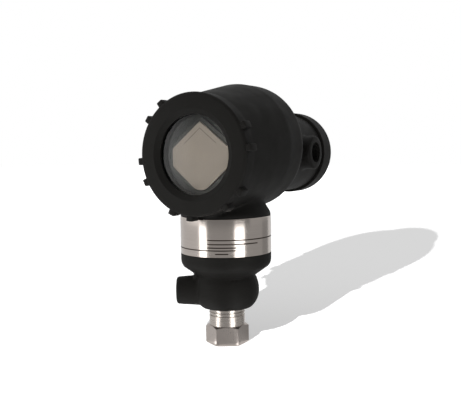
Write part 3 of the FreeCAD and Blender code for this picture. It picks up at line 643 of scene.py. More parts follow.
def dress(finish: Finish, *nodes: str) -> None:
    """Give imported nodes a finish.

    Args:
        finish: the finish.
        nodes: the nodes that get it.
    """
    for node in nodes:
        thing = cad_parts[node]
        thing.data.materials.clear()
        thing.data.materials.append(finish.build())
        LOG.info("%s dressed in %s", node, finish.name)


# ---------------------------------------------------------------- Geometry Nodes


class Pattern:
    """A Geometry Nodes tree that repeats something, with its sizes as named inputs."""

    def __init__(self, name: str, **inputs: float) -> None:
        """Start the tree.

        Args:
            name: its name.
            inputs: each input's name and value, whole where it is a count.
        """
        self.tree = bpy.data.node_groups.new(name, "GeometryNodeTree")
        self.values: dict[str, float] = {}
        for label, value in inputs.items():
            kind = "NodeSocketInt" if isinstance(value, int) else "NodeSocketFloat"
            socket = self.tree.interface.new_socket(label, in_out="INPUT", socket_type=kind)
            self.values[socket.identifier] = value
        self.tree.interface.new_socket("Geometry", in_out="OUTPUT", socket_type="NodeSocketGeometry")
        self.given = add_node(self.tree, "NodeGroupInput")

    def node(self, kind: str, settings: dict | None = None, **links: object) -> Node:
        """Add a node to the tree, as add_node does."""
        return add_node(self.tree, kind, settings, **links)

    def maths(self, operation: str, *terms: object) -> Socket:
        """The result of a sum on sockets or numbers."""
        step = self.node("ShaderNodeMath", {"operation": operation},
                         **{f"in_{k}": term for k, term in enumerate(terms)})
        return step.outputs[0]

    def grow(self, name: str, geometry: Socket, finish: Finish) -> Piece:
        """Realize the pattern as a plain mesh.

        Args:
            name: the new object's name.
            geometry: the tree's result before its last nodes.
            finish: the material that the pattern gets.

        Returns:
            The object.
        """
        real = self.node("GeometryNodeRealizeInstances", Geometry=geometry)
        coated = self.node("GeometryNodeSetMaterial", {"Material": finish.build()},
                           Geometry=real.outputs["Geometry"])
        end = self.node("NodeGroupOutput")
        self.tree.links.new(coated.outputs["Geometry"], end.inputs["Geometry"])
        piece = as_object(name, bmesh.new())
        step = piece.modifiers.new(name, "NODES")
        step.node_group = self.tree
        for key, value in self.values.items():
            step[key] = value
        settle(piece)
        LOG.info("%s grown from its pattern: %d faces", name, len(piece.data.polygons))
        return piece


@dataclass
class Thread:
    """An internal thread: a sharp-crested ridge that winds up the wall of a bore."""

    radius: float
    pitch: float
    start: float
    length: float
    depth: float = 0.6
    per_turn: int = 48

    def build(self, name: str, seat: Matrix, finish: Finish) -> Piece:
        """Wind the ridge.

        Args:
            name: the piece's name.
            seat: the frame whose Z is the bore's axis.
            finish: its finish.

        Returns:
            The ridge.
        """
        pattern = Pattern("thread_ridge", Radius=self.radius * MM, Turns=self.length / self.pitch,
                          Length=self.length * MM, Depth=self.depth * MM)
        given = pattern.given.outputs
        coil = pattern.node("GeometryNodeCurveSpiral", {"Resolution": self.per_turn},
                            Rotations=given["Turns"], Start_Radius=given["Radius"],
                            End_Radius=given["Radius"], Height=given["Length"])
        section = pattern.node("GeometryNodeCurvePrimitiveCircle", {"mode": "RADIUS", "Resolution": 3},
                               Radius=given["Depth"])
        level = pattern.node("GeometryNodeSetCurveNormal", {"mode": "Z_UP"}, Curve=coil.outputs["Curve"])
        ridge = pattern.node("GeometryNodeCurveToMesh", {"Fill Caps": True}, Curve=level.outputs["Curve"],
                             Profile_Curve=section.outputs["Curve"])
        piece = pattern.grow(name, ridge.outputs["Mesh"], finish)
        piece.data.transform(seat @ Matrix.Translation((0, 0, self.start * MM)))
        return smooth(piece)


@dataclass
class GripLugs:
    """The grip lugs round the window cover's rim: pairs at even steps, none at the top."""

    radius: float = 49.3
    height: float = 3.7
    width: float = 5.8
    length: float = 10.0
    start: float = 0.8
    bite: float = 3.0
    pairs: int = 5
    step: float = 60.0
    phase: float = -15.7
    spread: float = 10.0

    def build(self) -> Piece:
        """Set the lugs out round the rim.

        Returns:
            All of them in one piece.
        """
        reach = self.height + self.bite
        pattern = Pattern("grip_lug_pairs", Pairs=self.pairs, Step=math.radians(self.step),
                          Phase=math.radians(self.phase), Spread=math.radians(self.spread),
                          Reach=reach * MM, Width=self.width * MM, Length=self.length * MM,
                          Circle=(self.radius - self.bite + reach / 2) * MM,
                          Height=(self.start + self.length / 2) * MM)
        given = pattern.given.outputs
        block_size = pattern.node("ShaderNodeCombineXYZ", X=given["Reach"], Y=given["Width"],
                                  Z=given["Length"])
        block = pattern.node("GeometryNodeMeshCube", Size=block_size.outputs["Vector"])
        count = pattern.maths("MULTIPLY", given["Pairs"], 2.0)
        spots = pattern.node("GeometryNodePoints", Count=count)
        index = pattern.node("GeometryNodeInputIndex").outputs["Index"]
        pair = pattern.maths("FLOOR", pattern.maths("DIVIDE", index, 2.0))
        odd = pattern.maths("MODULO", index, 2.0)
        side = pattern.maths("SUBTRACT", pattern.maths("MULTIPLY", odd, 2.0), 1.0)
        start = pattern.maths("MULTIPLY_ADD", pair, given["Step"], given["Phase"])
        angle = pattern.maths("MULTIPLY_ADD", side, given["Spread"], start)
        spot = pattern.node("ShaderNodeCombineXYZ",
                            X=pattern.maths("MULTIPLY", given["Circle"], pattern.maths("COSINE", angle)),
                            Y=pattern.maths("MULTIPLY", given["Circle"], pattern.maths("SINE", angle)),
                            Z=given["Height"])
        placed = pattern.node("GeometryNodeSetPosition", Geometry=spots.outputs[0],
                              Position=spot.outputs["Vector"])
        turn = pattern.node("ShaderNodeCombineXYZ", Z=angle)
        lugs = pattern.node("GeometryNodeInstanceOnPoints", Points=placed.outputs["Geometry"],
                            Instance=block.outputs["Mesh"], Rotation=turn.outputs["Vector"])
        piece = pattern.grow("front_cover_lugs", lugs.outputs["Instances"], BLACK_COAT)
        piece.data.transform(Seat.DRUM.value)
        return smooth(ease_edges(piece, 0.9, 3))


@dataclass
class BoardParts:
    """Small surface-mounted parts set out over a round board, each a little different."""

    radius: float
    height: float
    count: int
    seed: int
    part: float = 2.0

    def build(self, name: str) -> Piece:
        """Scatter the parts on a square grid inside the board's edge.

        Args:
            name: the piece's name.

        Returns:
            The parts in one piece.
        """
        pattern = Pattern("surface_mounted_parts", Radius=self.radius * MM, Count=self.count,
                          Part=self.part * MM, Seed=self.seed)
        given = pattern.given.outputs
        grid = pattern.node("GeometryNodeMeshGrid", Size_X=given["Radius"], Size_Y=given["Radius"],
                            Vertices_X=given["Count"], Vertices_Y=given["Count"])
        pick = pattern.node("FunctionNodeRandomValue", {"data_type": "BOOLEAN", "Probability": 0.7},
                            Seed=given["Seed"])
        block_size = pattern.node("ShaderNodeCombineXYZ", X=given["Part"],
                                  Y=pattern.maths("MULTIPLY", given["Part"], 0.6),
                                  Z=pattern.maths("MULTIPLY", given["Part"], 0.5))
        block = pattern.node("GeometryNodeMeshCube", Size=block_size.outputs["Vector"])
        scale = pattern.node("FunctionNodeRandomValue", {"data_type": "FLOAT"}, in_2=0.6, in_3=1.3,
                             Seed=given["Seed"])
        parts = pattern.node("GeometryNodeInstanceOnPoints", Points=grid.outputs["Mesh"],
                             Selection=pick.outputs[3], Instance=block.outputs["Mesh"],
                             Scale=scale.outputs[1])
        piece = pattern.grow(name, parts.outputs["Instances"], MODULE)
        piece.data.transform(Matrix.Translation((0, 0, self.height * MM)))
        return piece


# ---------------------------------------------------------------- sub-assemblies


@dataclass
class SensorCollar:
    """The turned steel collar, with the grooves that run part of the way round it."""

    radius: float = 38.6
    low: float = 78.4
    top: float = 110.0
    edge: float = 0.8
    cavity: float = 20.5
    roof: float = 105.0
    neck: float = 24.0
    neck_bore: float = 18.5
    neck_top: float = 123.0
    groove_width: float = 0.9
    groove_depth: float = 0.7
    lip: float = 0.12
    seal: float = 112.6
    grooves: tuple[tuple[float, float, float], ...] = (
        (92.7, 278.0, 175.0), (89.4, 278.0, 63.0), (86.6, 278.0, 34.0), (84.3, 130.0, 181.0),
        (81.6, 288.0, 15.0))

    def wall(self) -> Outline:
        """The outer wall's points from the foot up.

        Returns:
            The points, four to each groove.
        """
        half, lip = self.groove_width / 2, self.lip
        points = [(self.radius - CHAMFER, self.low), (self.radius, self.low + CHAMFER)]
        for height, _, _ in sorted(self.grooves):
            points += [(self.radius, height - half - 0.01), (self.radius, height - half + lip),
                       (self.radius, height + half - lip), (self.radius, height + half + 0.01)]
        upper = (self.radius, self.top - self.edge)
        last = (self.radius - self.edge, self.top)
        return points + [upper, *bend(upper, last, self.edge, steps=5), last]

    def build(self) -> None:
        """Turn the collar and press each groove in over its own sweep."""
        outline = [(self.cavity, self.low), *self.wall(), (self.neck, self.top),
                   *square_groove(self.neck, self.neck - SEAL_DEPTH, self.seal, SEAL_WIDTH),
                   (self.neck, self.neck_top - 1), (self.neck - 1, self.neck_top),
                   (self.neck_bore, self.neck_top), (self.neck_bore, self.roof), (self.cavity, self.roof)]
        mesh = lathe(outline, steps=360)
        pressed = set()
        for vert in mesh.verts:
            reach = math.hypot(vert.co.x, vert.co.y) / MM
            if abs(reach - self.radius) > 0.01:
                continue
            angle = math.degrees(math.atan2(vert.co.y, vert.co.x)) % 360
            for height, start, sweep in self.grooves:
                inside = abs(vert.co.z / MM - height) < self.groove_width / 2 - 0.05
                if inside and (angle - start) % 360 <= sweep:
                    share = (self.radius - self.groove_depth) / self.radius
                    vert.co.x *= share
                    vert.co.y *= share
                    pressed.add(vert)
        # Faces in the pressed grooves get the second, dark material: painted shade in the grooves.
        groove_shade_index = [int(sum(vert in pressed for vert in face.verts) >= 2) for face in mesh.faces]
        collar = fit(smooth(as_object("collar_turned", mesh)), Body.BASE, COLLAR_STEEL, "stainless",
                     "sensor_collar", "sensor_neck")
        collar.data.materials.append(GROOVE_SHADE_STEEL.build())
        collar.data.polygons.foreach_set("material_index", groove_shade_index)


@dataclass
class ProcessStem:
    """The stainless stem: a chamfered hexagon, two clamp grooves and the threaded port."""

    flats: float = 32.0
    height: float = 15.9
    chamfer: float = 1.3
    radius: float = 15.3
    groove_start: float = 24.2
    groove: float = 2.0
    gap: float = 0.8
    depth: float = 1.1
    top: float = 60.0
    port: float = 9.3
    port_depth: float = 20.0
    passage: float = 2.5
    dish: float = 11.0
    dish_depth: float = 3.0

    def bevelled_hexagon(self) -> Piece:
        """The hexagon with its corners turned off at 30 degrees above and below.

        Returns:
            The hexagon, with the port bored through it.
        """
        corner = self.flats / math.sqrt(3)
        slope = math.tan(math.radians(30))
        block = as_object("stem_hexagon", prism(polygon(6, corner, 30), 0, self.height))
        cone = as_object("stem_bevel", lathe([
            (0, 0), (corner - self.chamfer / 2, 0), (corner + 1, (self.chamfer / 2 + 1) * slope),
            (corner + 1, self.height - (self.chamfer * 2 + 1) * slope),
            (corner - self.chamfer * 2, self.height), (0, self.height)], steps=240))
        carve(block, cone, operation="INTERSECT")
        return carve(block, as_object("bore_tool", lathe(stepped(-1, (self.port, self.port_depth)))))

    def build(self) -> None:
        """Make the hexagon, the shank above it and the thread in the port."""
        hexagon = smooth(ease_edges(self.bevelled_hexagon(), 0.7, 4), math.radians(20))
        fit(hexagon, Body.BASE, HEX_STEEL, "stainless")
        starts = (self.groove_start, self.groove_start + self.groove + self.gap)
        clamps = [point for start in starts
                  for point in square_groove(self.radius, self.radius - self.depth, start, self.groove)]
        throat = self.port_depth + (self.port - self.passage) * math.tan(math.radians(30))
        shank = lathe([
            (self.port, self.height - 1), (self.radius, self.height - 1), *clamps, (self.radius, self.top),
            (self.dish, self.top), (self.passage, self.top - self.dish_depth), (self.passage, throat),
            (self.port, self.port_depth)], steps=200)
        fit(smooth(as_object("stem_shank", shank)), Body.BASE, STEM_STEEL, "stainless", "process_stem")
        ridge = Thread(self.port, 1.81, 1.2, 17.5, 0.55).build("port_thread", Seat.STEM.value, STEM_STEEL)
        fit(ridge, Body.BASE, STEM_STEEL, "stainless")


@dataclass
class SensorBody:
    """The painted steel body under the collar, cast in one with its vent boss."""

    grain: float = 0.8
    foot: float = 31.2
    foot_radius: float = 21.2
    belly: tuple[float, float] = (27.9, 45.5)
    waist: tuple[float, float] = (24.6, 58.6)
    flare_low: tuple[float, float] = (36.4, 67.0)
    flare_high: tuple[float, float] = (38.6, 72.6)
    top: float = 80.0
    boss: float = 13.2
    boss_taper: float = 20.0
    boss_rim: tuple[float, float] = (11.8, 40.6)
    boss_face: tuple[float, float] = (9.4, 43.0)
    rib: tuple[float, float, float] = (19.1, 16.0, 27.6)
    bores: tuple[tuple[float, float], ...] = ((15.35, 63.0), (20.0, 78.4), (60.0, 90.0))
    vent_bores: tuple[tuple[float, float], ...] = ((1.5, 30.0), (6.65, 60.0))

    def build(self) -> None:
        """Cast the outside, then machine the bores and faces."""
        foot, end = (self.foot_radius, self.foot), (self.flare_high[0], self.top)
        barrel = [(0, self.foot), foot, *bend(foot, self.belly, 18.5), self.belly,
                  *bend(self.belly, self.waist, 26.0), self.waist, self.flare_low,
                  *bend(self.flare_low, self.flare_high, 9.0), self.flare_high, end, (0, self.top)]
        boss = [(0, 0), (self.boss, 0), (self.boss, self.boss_taper), self.boss_rim,
                *bend(self.boss_rim, self.boss_face, 2.4), self.boss_face, (0, self.boss_face[1])]
        drop, width, length = self.rib
        rib = prism([(-drop, -width / 2), (0, -width / 2), (0, width / 2), (-drop, width / 2)], 0, length,
                    Seat.VENT.value)
        piece = as_object("sensor_body_cast", lathe(barrel), lathe(boss, Seat.VENT.value), rib)
        cast(piece, self.grain, 6)
        bore = as_object("bore_tool", lathe(stepped(20, *self.bores)))
        port = as_object("port_tool", lathe(stepped(14, *self.vent_bores), Seat.VENT.value))
        carve(piece, bore, port)
        fit(smooth(piece), Body.BASE, BLACK_PAINT, "black_steel", "sensor_body")
        plug = ease_edges(copied("vent_plug", "vent_plug_screw"), 0.15, 1)
        fit(smooth(plug), Body.VENT_PLUG, SCREW_STEEL, "screws", "vent_plug")


@dataclass
class Housing:
    """The cast aluminium housing: flare, drum with rounded shoulder, rear drum, skirt and bosses."""

    grain: float = 1.25
    start: float = 13.5
    front_radius: float = 48.8
    drum_radius: float = 54.0
    drum_rise: float = 6.0
    drum_start: float = 69.0
    drum_end: float = 101.0
    shoulder: float = 10.5
    rear_radius: float = 37.0
    rear_end: float = 176.0
    skirt: tuple[tuple[float, float], ...] = ((38.4, 112.1), (32.9, 121.3), (31.9, 145.3))
    entry_place: tuple[float, float] = (86.2, 161.7)
    entry_boss: tuple[float, float, float] = (15.5, 47.0, 1.2)
    entry: float = 9.3
    earth_place: tuple[float, float] = (62.2, 145.7)
    earth_boss: tuple[float, float, float] = (7.5, 43.0, 0.6)
    front_bores: tuple[tuple[float, float], ...] = ((70.0, 13.5), (43.05, 27.5), (40.5, 86.0))
    rear_bores: tuple[tuple[float, float], ...] = ((32.6, 163.0), (33.05, 176.0), (60.0, 190.0))
    neck_bores: tuple[tuple[float, float], ...] = ((60.0, 110.3), (24.05, 150.0))

    def flare(self) -> Mesh:
        """The skin from the round mouth to the larger drum, which stands higher, and its shoulder.

        Returns:
            The skin, closed at both ends.
        """
        rows = [(self.start - 3, self.front_radius, 0.0), (self.start, self.front_radius, 0.0),
                (self.drum_start, self.drum_radius, self.drum_rise)]
        flat = self.drum_end - self.shoulder
        rows += [(flat + self.shoulder * math.sin(math.radians(a)),
                  self.drum_radius - self.shoulder * (1 - math.cos(math.radians(a))), self.drum_rise)
                 for a in range(0, 91, 9)]
        point = 0.001
        rows = [(rows[0][0], point, rows[0][2]), *rows, (self.drum_end, point, self.drum_rise)]
        mesh, steps = bmesh.new(), 180
        rings = [ring(mesh, radius, depth, steps, rise) for depth, radius, rise in rows]
        for low, high in zip(rings, rings[1:]):
            for k in range(steps):
                mesh.faces.new((low[k], low[(k + 1) % steps], high[(k + 1) % steps], high[k]))
        bmesh.ops.remove_doubles(mesh, verts=mesh.verts, dist=0.01 * MM)
        bmesh.ops.recalc_face_normals(mesh, faces=mesh.faces)
        mesh.transform(Seat.DRUM.value)
        return mesh

    def sideways(self, place: tuple[float, float], turn: float, out: float = 0.0) -> Matrix:
        """A frame whose Z points sideways.

        Args:
            place: its Y and height in mm.
            turn: 90 where Z points to +X, -90 where it points to -X.
            out: its X in mm.

        Returns:
            The frame.
        """
        return (Matrix.Translation((out * MM, place[0] * MM, place[1] * MM))
                @ Matrix.Rotation(math.radians(turn), 4, "Y"))

    def bosses(self) -> Iterable[Mesh]:
        """The two cable entries and the earth boss.

        Yields:
            Each boss in turn.
        """
        for place, turn, (radius, reach, edge) in (
                (self.entry_place, 90, self.entry_boss), (self.entry_place, -90, self.entry_boss),
                (self.earth_place, -90, self.earth_boss)):
            yield lathe([(0, 0), (radius, 0), (radius, reach - edge), (radius - edge, reach), (0, reach)],
                        self.sideways(place, turn))

    def build(self) -> None:
        """Cast the skin, machine its mouths and bores, and wind the entry's thread."""
        rear = lathe(stepped(60, (self.rear_radius, self.rear_end + 3)), Seat.DRUM.value)
        skirt = lathe([(0, 108), (self.skirt[0][0], 108), *self.skirt, (0, self.skirt[-1][1])])
        piece = as_object("housing_cast", self.flare(), rear, skirt, *self.bosses())
        cast(piece, self.grain, 5)
        tools = [
            lathe(stepped(-5, *self.front_bores), Seat.DRUM.value),
            lathe(stepped(92, *self.rear_bores), Seat.DRUM.value),
            lathe(stepped(100, *self.neck_bores)),
            lathe(stepped(-60, (self.entry, 60)), self.sideways(self.entry_place, 90)),
        ]
        carve(piece, *[as_object("tool", tool) for tool in tools])
        fit(smooth(piece), Body.HOUSING, BLACK_COAT, "black_coating", "housing")
        mouth = self.sideways(self.entry_place, -90, self.entry_boss[1])
        ridge = Thread(self.entry, 1.5, 1.0, 12.5, 0.5).build("entry_thread", mouth, BLACK_COAT)
        fit(ridge, Body.HOUSING, BLACK_COAT, "black_coating")


@dataclass
class WindowCover:
    """The screwed cover with its window, bezel cone and grip lugs."""

    radius: float = 49.3
    edge: float = 2.5
    length: float = 13.2
    window: float = 32.0
    lip: float = 3.0
    bezel: float = 36.5
    thread: float = 43.0
    thread_end: float = 25.2
    retainer: float = 39.5
    pocket: float = 36.0
    pocket_start: float = 4.5
    pocket_end: float = 16.0
    pane: tuple[float, float, float] = (35.95, 5.3, 11.3)

    def build(self) -> None:
        """Turn the cover, add its lugs, and dress the pane and rings in it."""
        rim_a, rim_b = (self.radius - self.edge, 0.0), (self.radius, self.edge)
        seat, thread, end = self.length, self.thread, self.thread_end
        outline = [
            (self.window, self.lip), (self.bezel, 0.0), rim_a, *bend(rim_a, rim_b, self.edge, steps=7), rim_b,
            (self.radius, seat - CHAMFER), (self.radius - CHAMFER, seat), (thread, seat),
            *square_groove(thread, thread - SEAL_DEPTH, seat + SEAL_WIDTH, SEAL_WIDTH), (thread, end),
            (self.retainer, end), (self.retainer, self.pocket_end), (self.pocket, self.pocket_end),
            (self.pocket, self.pocket_start), (self.window, self.pocket_start)]
        cover = smooth(as_object("front_cover_turned", lathe(outline, Seat.DRUM.value, 240)))
        fit(cover, Body.FRONT_COVER, BLACK_COAT, "black_coating", "front_cover")
        fit(GripLugs().build(), Body.FRONT_COVER, BLACK_COAT, "black_coating")
        radius, face, back = self.pane
        pane = lathe(stepped(face, (radius, back)), Seat.DRUM.value, 200)
        fit(smooth(as_object("window_pane", pane)), Body.FRONT_COVER, GLASS, "glass", "window_glass")
        dress(RUBBER, "window_gasket")
        dress(BEZEL_LINER, "window_retainer")


@dataclass
class BlindCover:
    """The domed rear cover with the slot for a bar across its crown."""

    radius: float = 39.4
    seat: float = 176.3
    length: float = 24.7
    bend_radius: float = 9.0
    wall: float = 4.5
    thread: float = 33.0
    bore: float = 29.0
    ceiling: float = 193.0
    slot: tuple[float, float, float] = (48.0, 8.0, 3.5)

    def build(self) -> None:
        """Turn the cover and mill its slot."""
        end = self.seat + self.length
        shoulder = (self.radius, end - self.bend_radius)
        crown = (self.radius - self.bend_radius, end)
        thread, seat, inner = self.thread, self.seat, self.radius - self.wall
        outline = [
            (self.bore, seat - 11), (thread, seat - 11),
            *square_groove(thread, thread - SEAL_DEPTH, seat - 2 * SEAL_WIDTH, SEAL_WIDTH), (thread, seat),
            (self.radius - CHAMFER, seat), (self.radius, seat + CHAMFER), shoulder,
            *bend(shoulder, crown, self.bend_radius, steps=12), crown, (0, end), (0, self.ceiling),
            (inner - self.wall, self.ceiling), (inner, self.ceiling - self.wall), (inner, seat + 3),
            (self.bore, seat + 3)]
        piece = as_object("rear_cover_turned", lathe(outline, Seat.DRUM.value, 220))
        long, wide, deep = self.slot
        bar = prism([(-long / 2, -wide / 2), (long / 2, -wide / 2), (long / 2, wide / 2),
                     (-long / 2, wide / 2)], end - deep, end + 5, Seat.DRUM.value)
        carve(piece, as_object("slot_tool", bar))
        fit(smooth(piece), Body.REAR_COVER, BLACK_COAT, "black_coating", "rear_cover")


@dataclass
class Display:
    """The turning display behind the window: a satin panel on its point in a dark case."""

    top: float = 26.6
    chin: float = 32.6
    half_width: float = 26.6
    upper_slope: float = 0.81
    lower_slope: float = 0.865
    corners: tuple[float, float, float] = (1.2, 4.0, 12.0)
    front: float = 15.3
    thickness: float = 2.4
    inset: float = 4.0
    # Width and reach of the chevron line, the painted shade of a bezel step.
    line: float = 0.6
    line_reach: float = 15.0

    def panel(self) -> Outline:
        """The panel's outline in the drum's frame, whose Y points down.

        Returns:
            The outline, with its corners rounded.
        """
        width, (tip, side, chin) = self.half_width, self.corners
        shoulder = self.top - width * self.upper_slope
        hip = self.chin - width * self.lower_slope
        corners = [(0.0, -self.top, tip), (width, -shoulder, side), (width, hip, side),
                   (0.0, self.chin, chin), (-width, hip, side), (-width, -shoulder, side)]
        points: Outline = []
        for index, (x, y, radius) in enumerate(corners):
            here = Vector((x, y))
            before, after = corners[index - 1], corners[(index + 1) % len(corners)]
            arms = [(Vector(other[:2]) - here).normalized() for other in (before, after)]
            reach = radius / math.tan(arms[0].angle(arms[1]) / 2)
            first, last = [tuple(here + arm * reach) for arm in arms]
            points += [first, *bend(first, last, radius, steps=9), last]
        return points

    def build(self) -> None:
        """Make the panel with its upper chevron line, a painted shade for the shaded edge of a bezel step,
        and dress the case behind it.
        """
        plate = as_object("display_window", prism(self.panel(), self.front, self.front + self.thickness,
                                                  Seat.DRUM.value))
        fit(smooth(ease_edges(plate, 0.5, 3)), Body.DISPLAY, PLATE, "display_face", "display_plate")
        # The chevron line is a dark strip just inside the panel's upper edges: painted shade of a bezel step.
        tip = -self.top + self.inset * math.hypot(1, self.upper_slope)
        reach, drop = self.line_reach, self.line_reach * self.upper_slope
        strip = prism([(0, tip), (reach, tip + drop), (reach, tip + drop + self.line), (0, tip + self.line),
                       (-reach, tip + drop + self.line), (-reach, tip + drop)], self.front - 0.05,
                      self.front + 0.2, Seat.DRUM.value)
        fit(as_object("display_step_shade_line", strip), Body.DISPLAY, PLATE_STEP_SHADE, "display_face")
        case = smooth(ease_edges(copied("display_case", "display_case_moulded"), 0.3, 2))
        fit(case, Body.DISPLAY, CASE, "display_case", "display_case")
        dress(CASE, "display_back", "display_mount")
        dress(BOARD, "display_board")


@dataclass
class Internals:
    """What the covers hide: sensor stack, electronics, terminals, seals and small screws."""

    def build(self) -> None:
        """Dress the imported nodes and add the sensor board's parts."""
        dress(RUBBER, "neck_seal", "front_cover_seal", "rear_cover_seal")
        dress(SCREW_STEEL, "front_cover_lock_screw", "rear_cover_lock_screw", "rotation_lock_screw",
              "electronics_screws", "terminal_screws", "terminal_fixing_screws", "isolating_diaphragm",
              "sensor_cell", "oil_fill_tube")
        for node, finish, slot in (("earth_washer", SCREW_STEEL, "screws"),
                                   ("earth_screw", SCREW_STEEL, "screws"),
                                   ("entry_plug", BLACK_COAT, "black_coating")):
            copy = smooth(ease_edges(copied(node, f"{node}_turned"), 0.15, 2))
            fit(copy, Body.HOUSING, finish, slot, node)
        dress(HEADER, "feedthrough_header")
        dress(PINS, "header_pins")
        dress(BOARD, "sensor_board")
        dress(CONNECTOR, "sensor_connector")
        dress(MODULE, "electronics_module")
        dress(TERMINAL, "terminal_block")
        _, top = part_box("sensor_board")
        parts = BoardParts(22.0, top.z / MM + 0.45, 7, 11).build("sensor_board_parts")
        fit(parts, Body.BASE, MODULE, "module")


# ---------------------------------------------------------------- studio


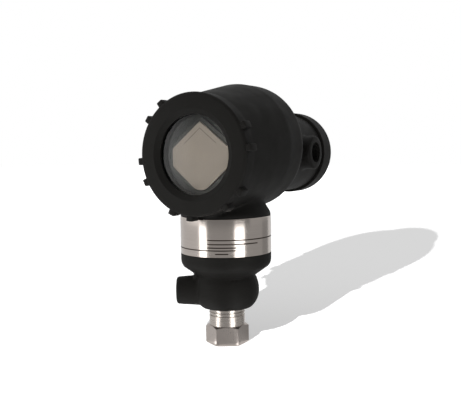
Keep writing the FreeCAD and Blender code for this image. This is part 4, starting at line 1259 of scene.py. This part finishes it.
@dataclass
class Studio:
    """A pale floor, two lamps, a light tent that the metal mirrors, and the camera."""

    azimuth: float = 30.0
    distance: float = 0.590
    aside: float = 0.0043
    eye: float = 0.1648
    pitch: float = 4.47
    roll: float = 0.84
    lens: float = 54.2
    tent_radius: float = 0.40
    tent_split: float = 0.10
    fill: float = 0.38
    floor_glow: float = 0.32
    floor_light: float = 60.0
    key_light: float = 1.3

    def at(self, side: float, away: float, height: float) -> Vector:
        """A place in the studio, in metres.

        Args:
            side: how far right of the camera's line of sight it is.
            away: how far it is from the object towards the camera.
            height: how high it is.

        Returns:
            The place.
        """
        turn = math.radians(self.azimuth)
        return Vector((math.sin(turn) * away + math.cos(turn) * side,
                       math.sin(turn) * side - math.cos(turn) * away, height))

    def camera(self) -> None:
        """Set the camera."""
        data = bpy.data.cameras.new("camera")
        data.lens, data.sensor_width = self.lens, 36.0
        eye = bpy.data.objects.new("camera", data)
        bpy.context.scene.collection.objects.link(eye)
        eye.matrix_world = Matrix.Translation(self.at(self.aside, self.distance, self.eye))
        for axis, degrees in (("Z", self.azimuth), ("X", 90 - self.pitch), ("Z", -self.roll)):
            eye.matrix_world @= Matrix.Rotation(math.radians(degrees), 4, axis)
        bpy.context.scene.camera = eye

    def seen(self, tree: Tree, *rays: str) -> Socket:
        """A switch that tells rays apart.

        Args:
            tree: the tree that gets it.
            rays: the kinds that count.

        Returns:
            1 for rays of those kinds, and 0 for others.
        """
        path = add_node(tree, "ShaderNodeLightPath").outputs
        share = path[rays[0]]
        for ray in rays[1:]:
            either = add_node(tree, "ShaderNodeMath", {"operation": "MAXIMUM"}, in_0=share, in_1=path[ray])
            share = either.outputs[0]
        return share

    def world(self) -> None:
        """A white surround for the eye and mirrors, and an even grey fill for the rest."""
        world = bpy.data.worlds.new("studio")
        world.use_nodes = True
        bpy.context.scene.world = world
        tree = world.node_tree
        seen = self.seen(tree, "Is Camera Ray", "Is Glossy Ray", "Is Transmission Ray")
        level = add_node(tree, "ShaderNodeMapRange", {"To Min": self.fill, "To Max": 1.0}, Value=seen)
        tree.links.new(level.outputs["Result"], tree.nodes["Background"].inputs["Strength"])
        tree.nodes["Background"].inputs["Color"].default_value = (1, 1, 1, 1)

    def floor(self) -> Piece:
        """A matt white floor that keeps the shadow and fades into the surround.

        Returns:
            The floor.
        """
        mesh = bmesh.new()
        bmesh.ops.create_grid(mesh, x_segments=1, y_segments=1, size=6.0)
        floor = as_object("floor", mesh)
        material = bpy.data.materials.new("white_floor")
        material.use_nodes = True
        tree = material.node_tree
        shader = tree.nodes["Principled BSDF"]
        for label, value in (("Base Color", (0.95, 0.95, 0.95, 1)), ("Roughness", 1.0),
                             ("Specular IOR Level", 0.0), ("Emission Color", (1, 1, 1, 1))):
            shader.inputs[label].default_value = value
        place = add_node(tree, "ShaderNodeTexCoord").outputs["Object"]
        reach = add_node(tree, "ShaderNodeVectorMath", {"operation": "LENGTH"}, in_0=place)
        fade = add_node(tree, "ShaderNodeMapRange", {
            "interpolation_type": "SMOOTHSTEP", "From Min": 0.9, "From Max": 1.8, "To Min": self.floor_glow,
            "To Max": 1.0}, Value=reach.outputs["Value"])
        glow = add_node(tree, "ShaderNodeMath", {"operation": "MULTIPLY"},
                        in_0=self.seen(tree, "Is Camera Ray", "Is Transmission Ray"),
                        in_1=fade.outputs["Result"])
        tree.links.new(glow.outputs[0], shader.inputs["Emission Strength"])
        floor.data.materials.append(material)
        return floor

    def tent(self) -> None:
        """Low panels that band the steel, and grey cloth above them that keeps the pane clear.

        Only mirrors and glass see them. Angles are about the object, from the camera's side.
        """
        low = ((-180, -66, 0.76), (-66, -47, 4.0), (-47, 21, 0.44), (21, 45, 4.0), (45, 100, 0.46),
               (100, 128, 0.34), (128, 150, 0.8), (150, 180, 0.75))
        edge = tuple((-67 + k, -66 + k, 1.5 - 0.18 * k) for k in range(7))
        high = ((-180, -110, 0.8), (-110, -67, 1.5), *edge, (-60, 60, 0.28), (60, 120, 0.5),
                (120, 180, 0.8))
        reach, split = self.tent_radius, self.tent_split
        for tier, rows, panels in ((1, ((0.02, 0.0004), (reach, 0.0004), (reach, split)), low),
                                   (2, ((reach, split), (reach, 1.2)), high)):
            for index, (start, end, level) in enumerate(panels, start=1):
                self.panel(f"tent_{tier}_{index}", rows, start, end, level)

    def panel(self, name: str, rows: Sequence[tuple[float, float]], start: float, end: float,
              level: float) -> None:
        """Hang one panel of the tent.

        Args:
            name: its name.
            rows: distance from the axis and height of each row of its points, in metres.
            start: the angle where it starts.
            end: the angle where it ends.
            level: how bright it is.
        """
        mesh = bmesh.new()
        steps = max(int((end - start) / 6), 2)
        columns = []
        for k in range(steps + 1):
            turn = math.radians(self.azimuth + start + (end - start) * k / steps)
            columns.append([mesh.verts.new((reach * math.sin(turn), -reach * math.cos(turn), height))
                            for reach, height in rows])
        for a, b in zip(columns, columns[1:]):
            for k in range(len(rows) - 1):
                mesh.faces.new((a[k], b[k], b[k + 1], a[k + 1]))
        panel = as_object(name, mesh)
        material = bpy.data.materials.new(name)
        material.use_nodes = True
        tree = material.node_tree
        tree.nodes.remove(tree.nodes["Principled BSDF"])
        light = add_node(tree, "ShaderNodeEmission", {"Strength": level})
        tree.links.new(light.outputs["Emission"], tree.nodes["Material Output"].inputs["Surface"])
        panel.data.materials.append(material)
        panel.visible_camera = panel.visible_diffuse = panel.visible_shadow = False

    def lamps(self, floor: Piece) -> None:
        """A bare lamp at the camera's left throws the floor's shadow, and a soft one lights the part.

        Args:
            floor: the floor.
        """
        bare = bpy.data.lights.new("floor_lamp", "POINT")
        bare.energy, bare.shadow_soft_size = 1.0, 0.004
        bare.use_nodes = True
        even = add_node(bare.node_tree, "ShaderNodeLightFalloff", {"Strength": self.floor_light})
        bare.node_tree.links.new(even.outputs["Constant"],
                                 bare.node_tree.nodes["Emission"].inputs["Strength"])
        soft = bpy.data.lights.new("key", "SUN")
        soft.energy, soft.angle = self.key_light, math.radians(20)
        for data, place, on_floor in ((bare, self.at(-0.30, 0.70, 0.435), True),
                                      (soft, self.at(-0.55, 0.80, 0.45), False)):
            lamp = bpy.data.objects.new(data.name, data)
            bpy.context.scene.collection.objects.link(lamp)
            lamp.location = place
            lamp.rotation_mode = "QUATERNION"
            lamp.rotation_quaternion = place.to_track_quat("Z", "Y")
            lamp.visible_glossy = False
            lit = bpy.data.collections.new(f"{data.name}_receivers")
            lit.objects.link(floor)
            lit.collection_objects[0].light_linking.link_state = "INCLUDE" if on_floor else "EXCLUDE"
            lamp.light_linking.receiver_collection = lit

    def build(self) -> None:
        """Set the studio up."""
        bpy.context.scene.view_settings.view_transform = "Standard"
        self.camera()
        self.world()
        floor = self.floor()
        self.tent()
        self.lamps(floor)


def main() -> None:
    """Build the pieces in order."""
    logging.basicConfig(level=logging.INFO, format="%(message)s")
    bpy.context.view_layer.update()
    for assembly in (SensorCollar(), ProcessStem(), SensorBody(), Housing(), WindowCover(), BlindCover(),
                     Display(), Internals(), Studio()):
        assembly.build()
        LOG.info("%s built", type(assembly).__name__)


if __name__ == "__main__":
    main()
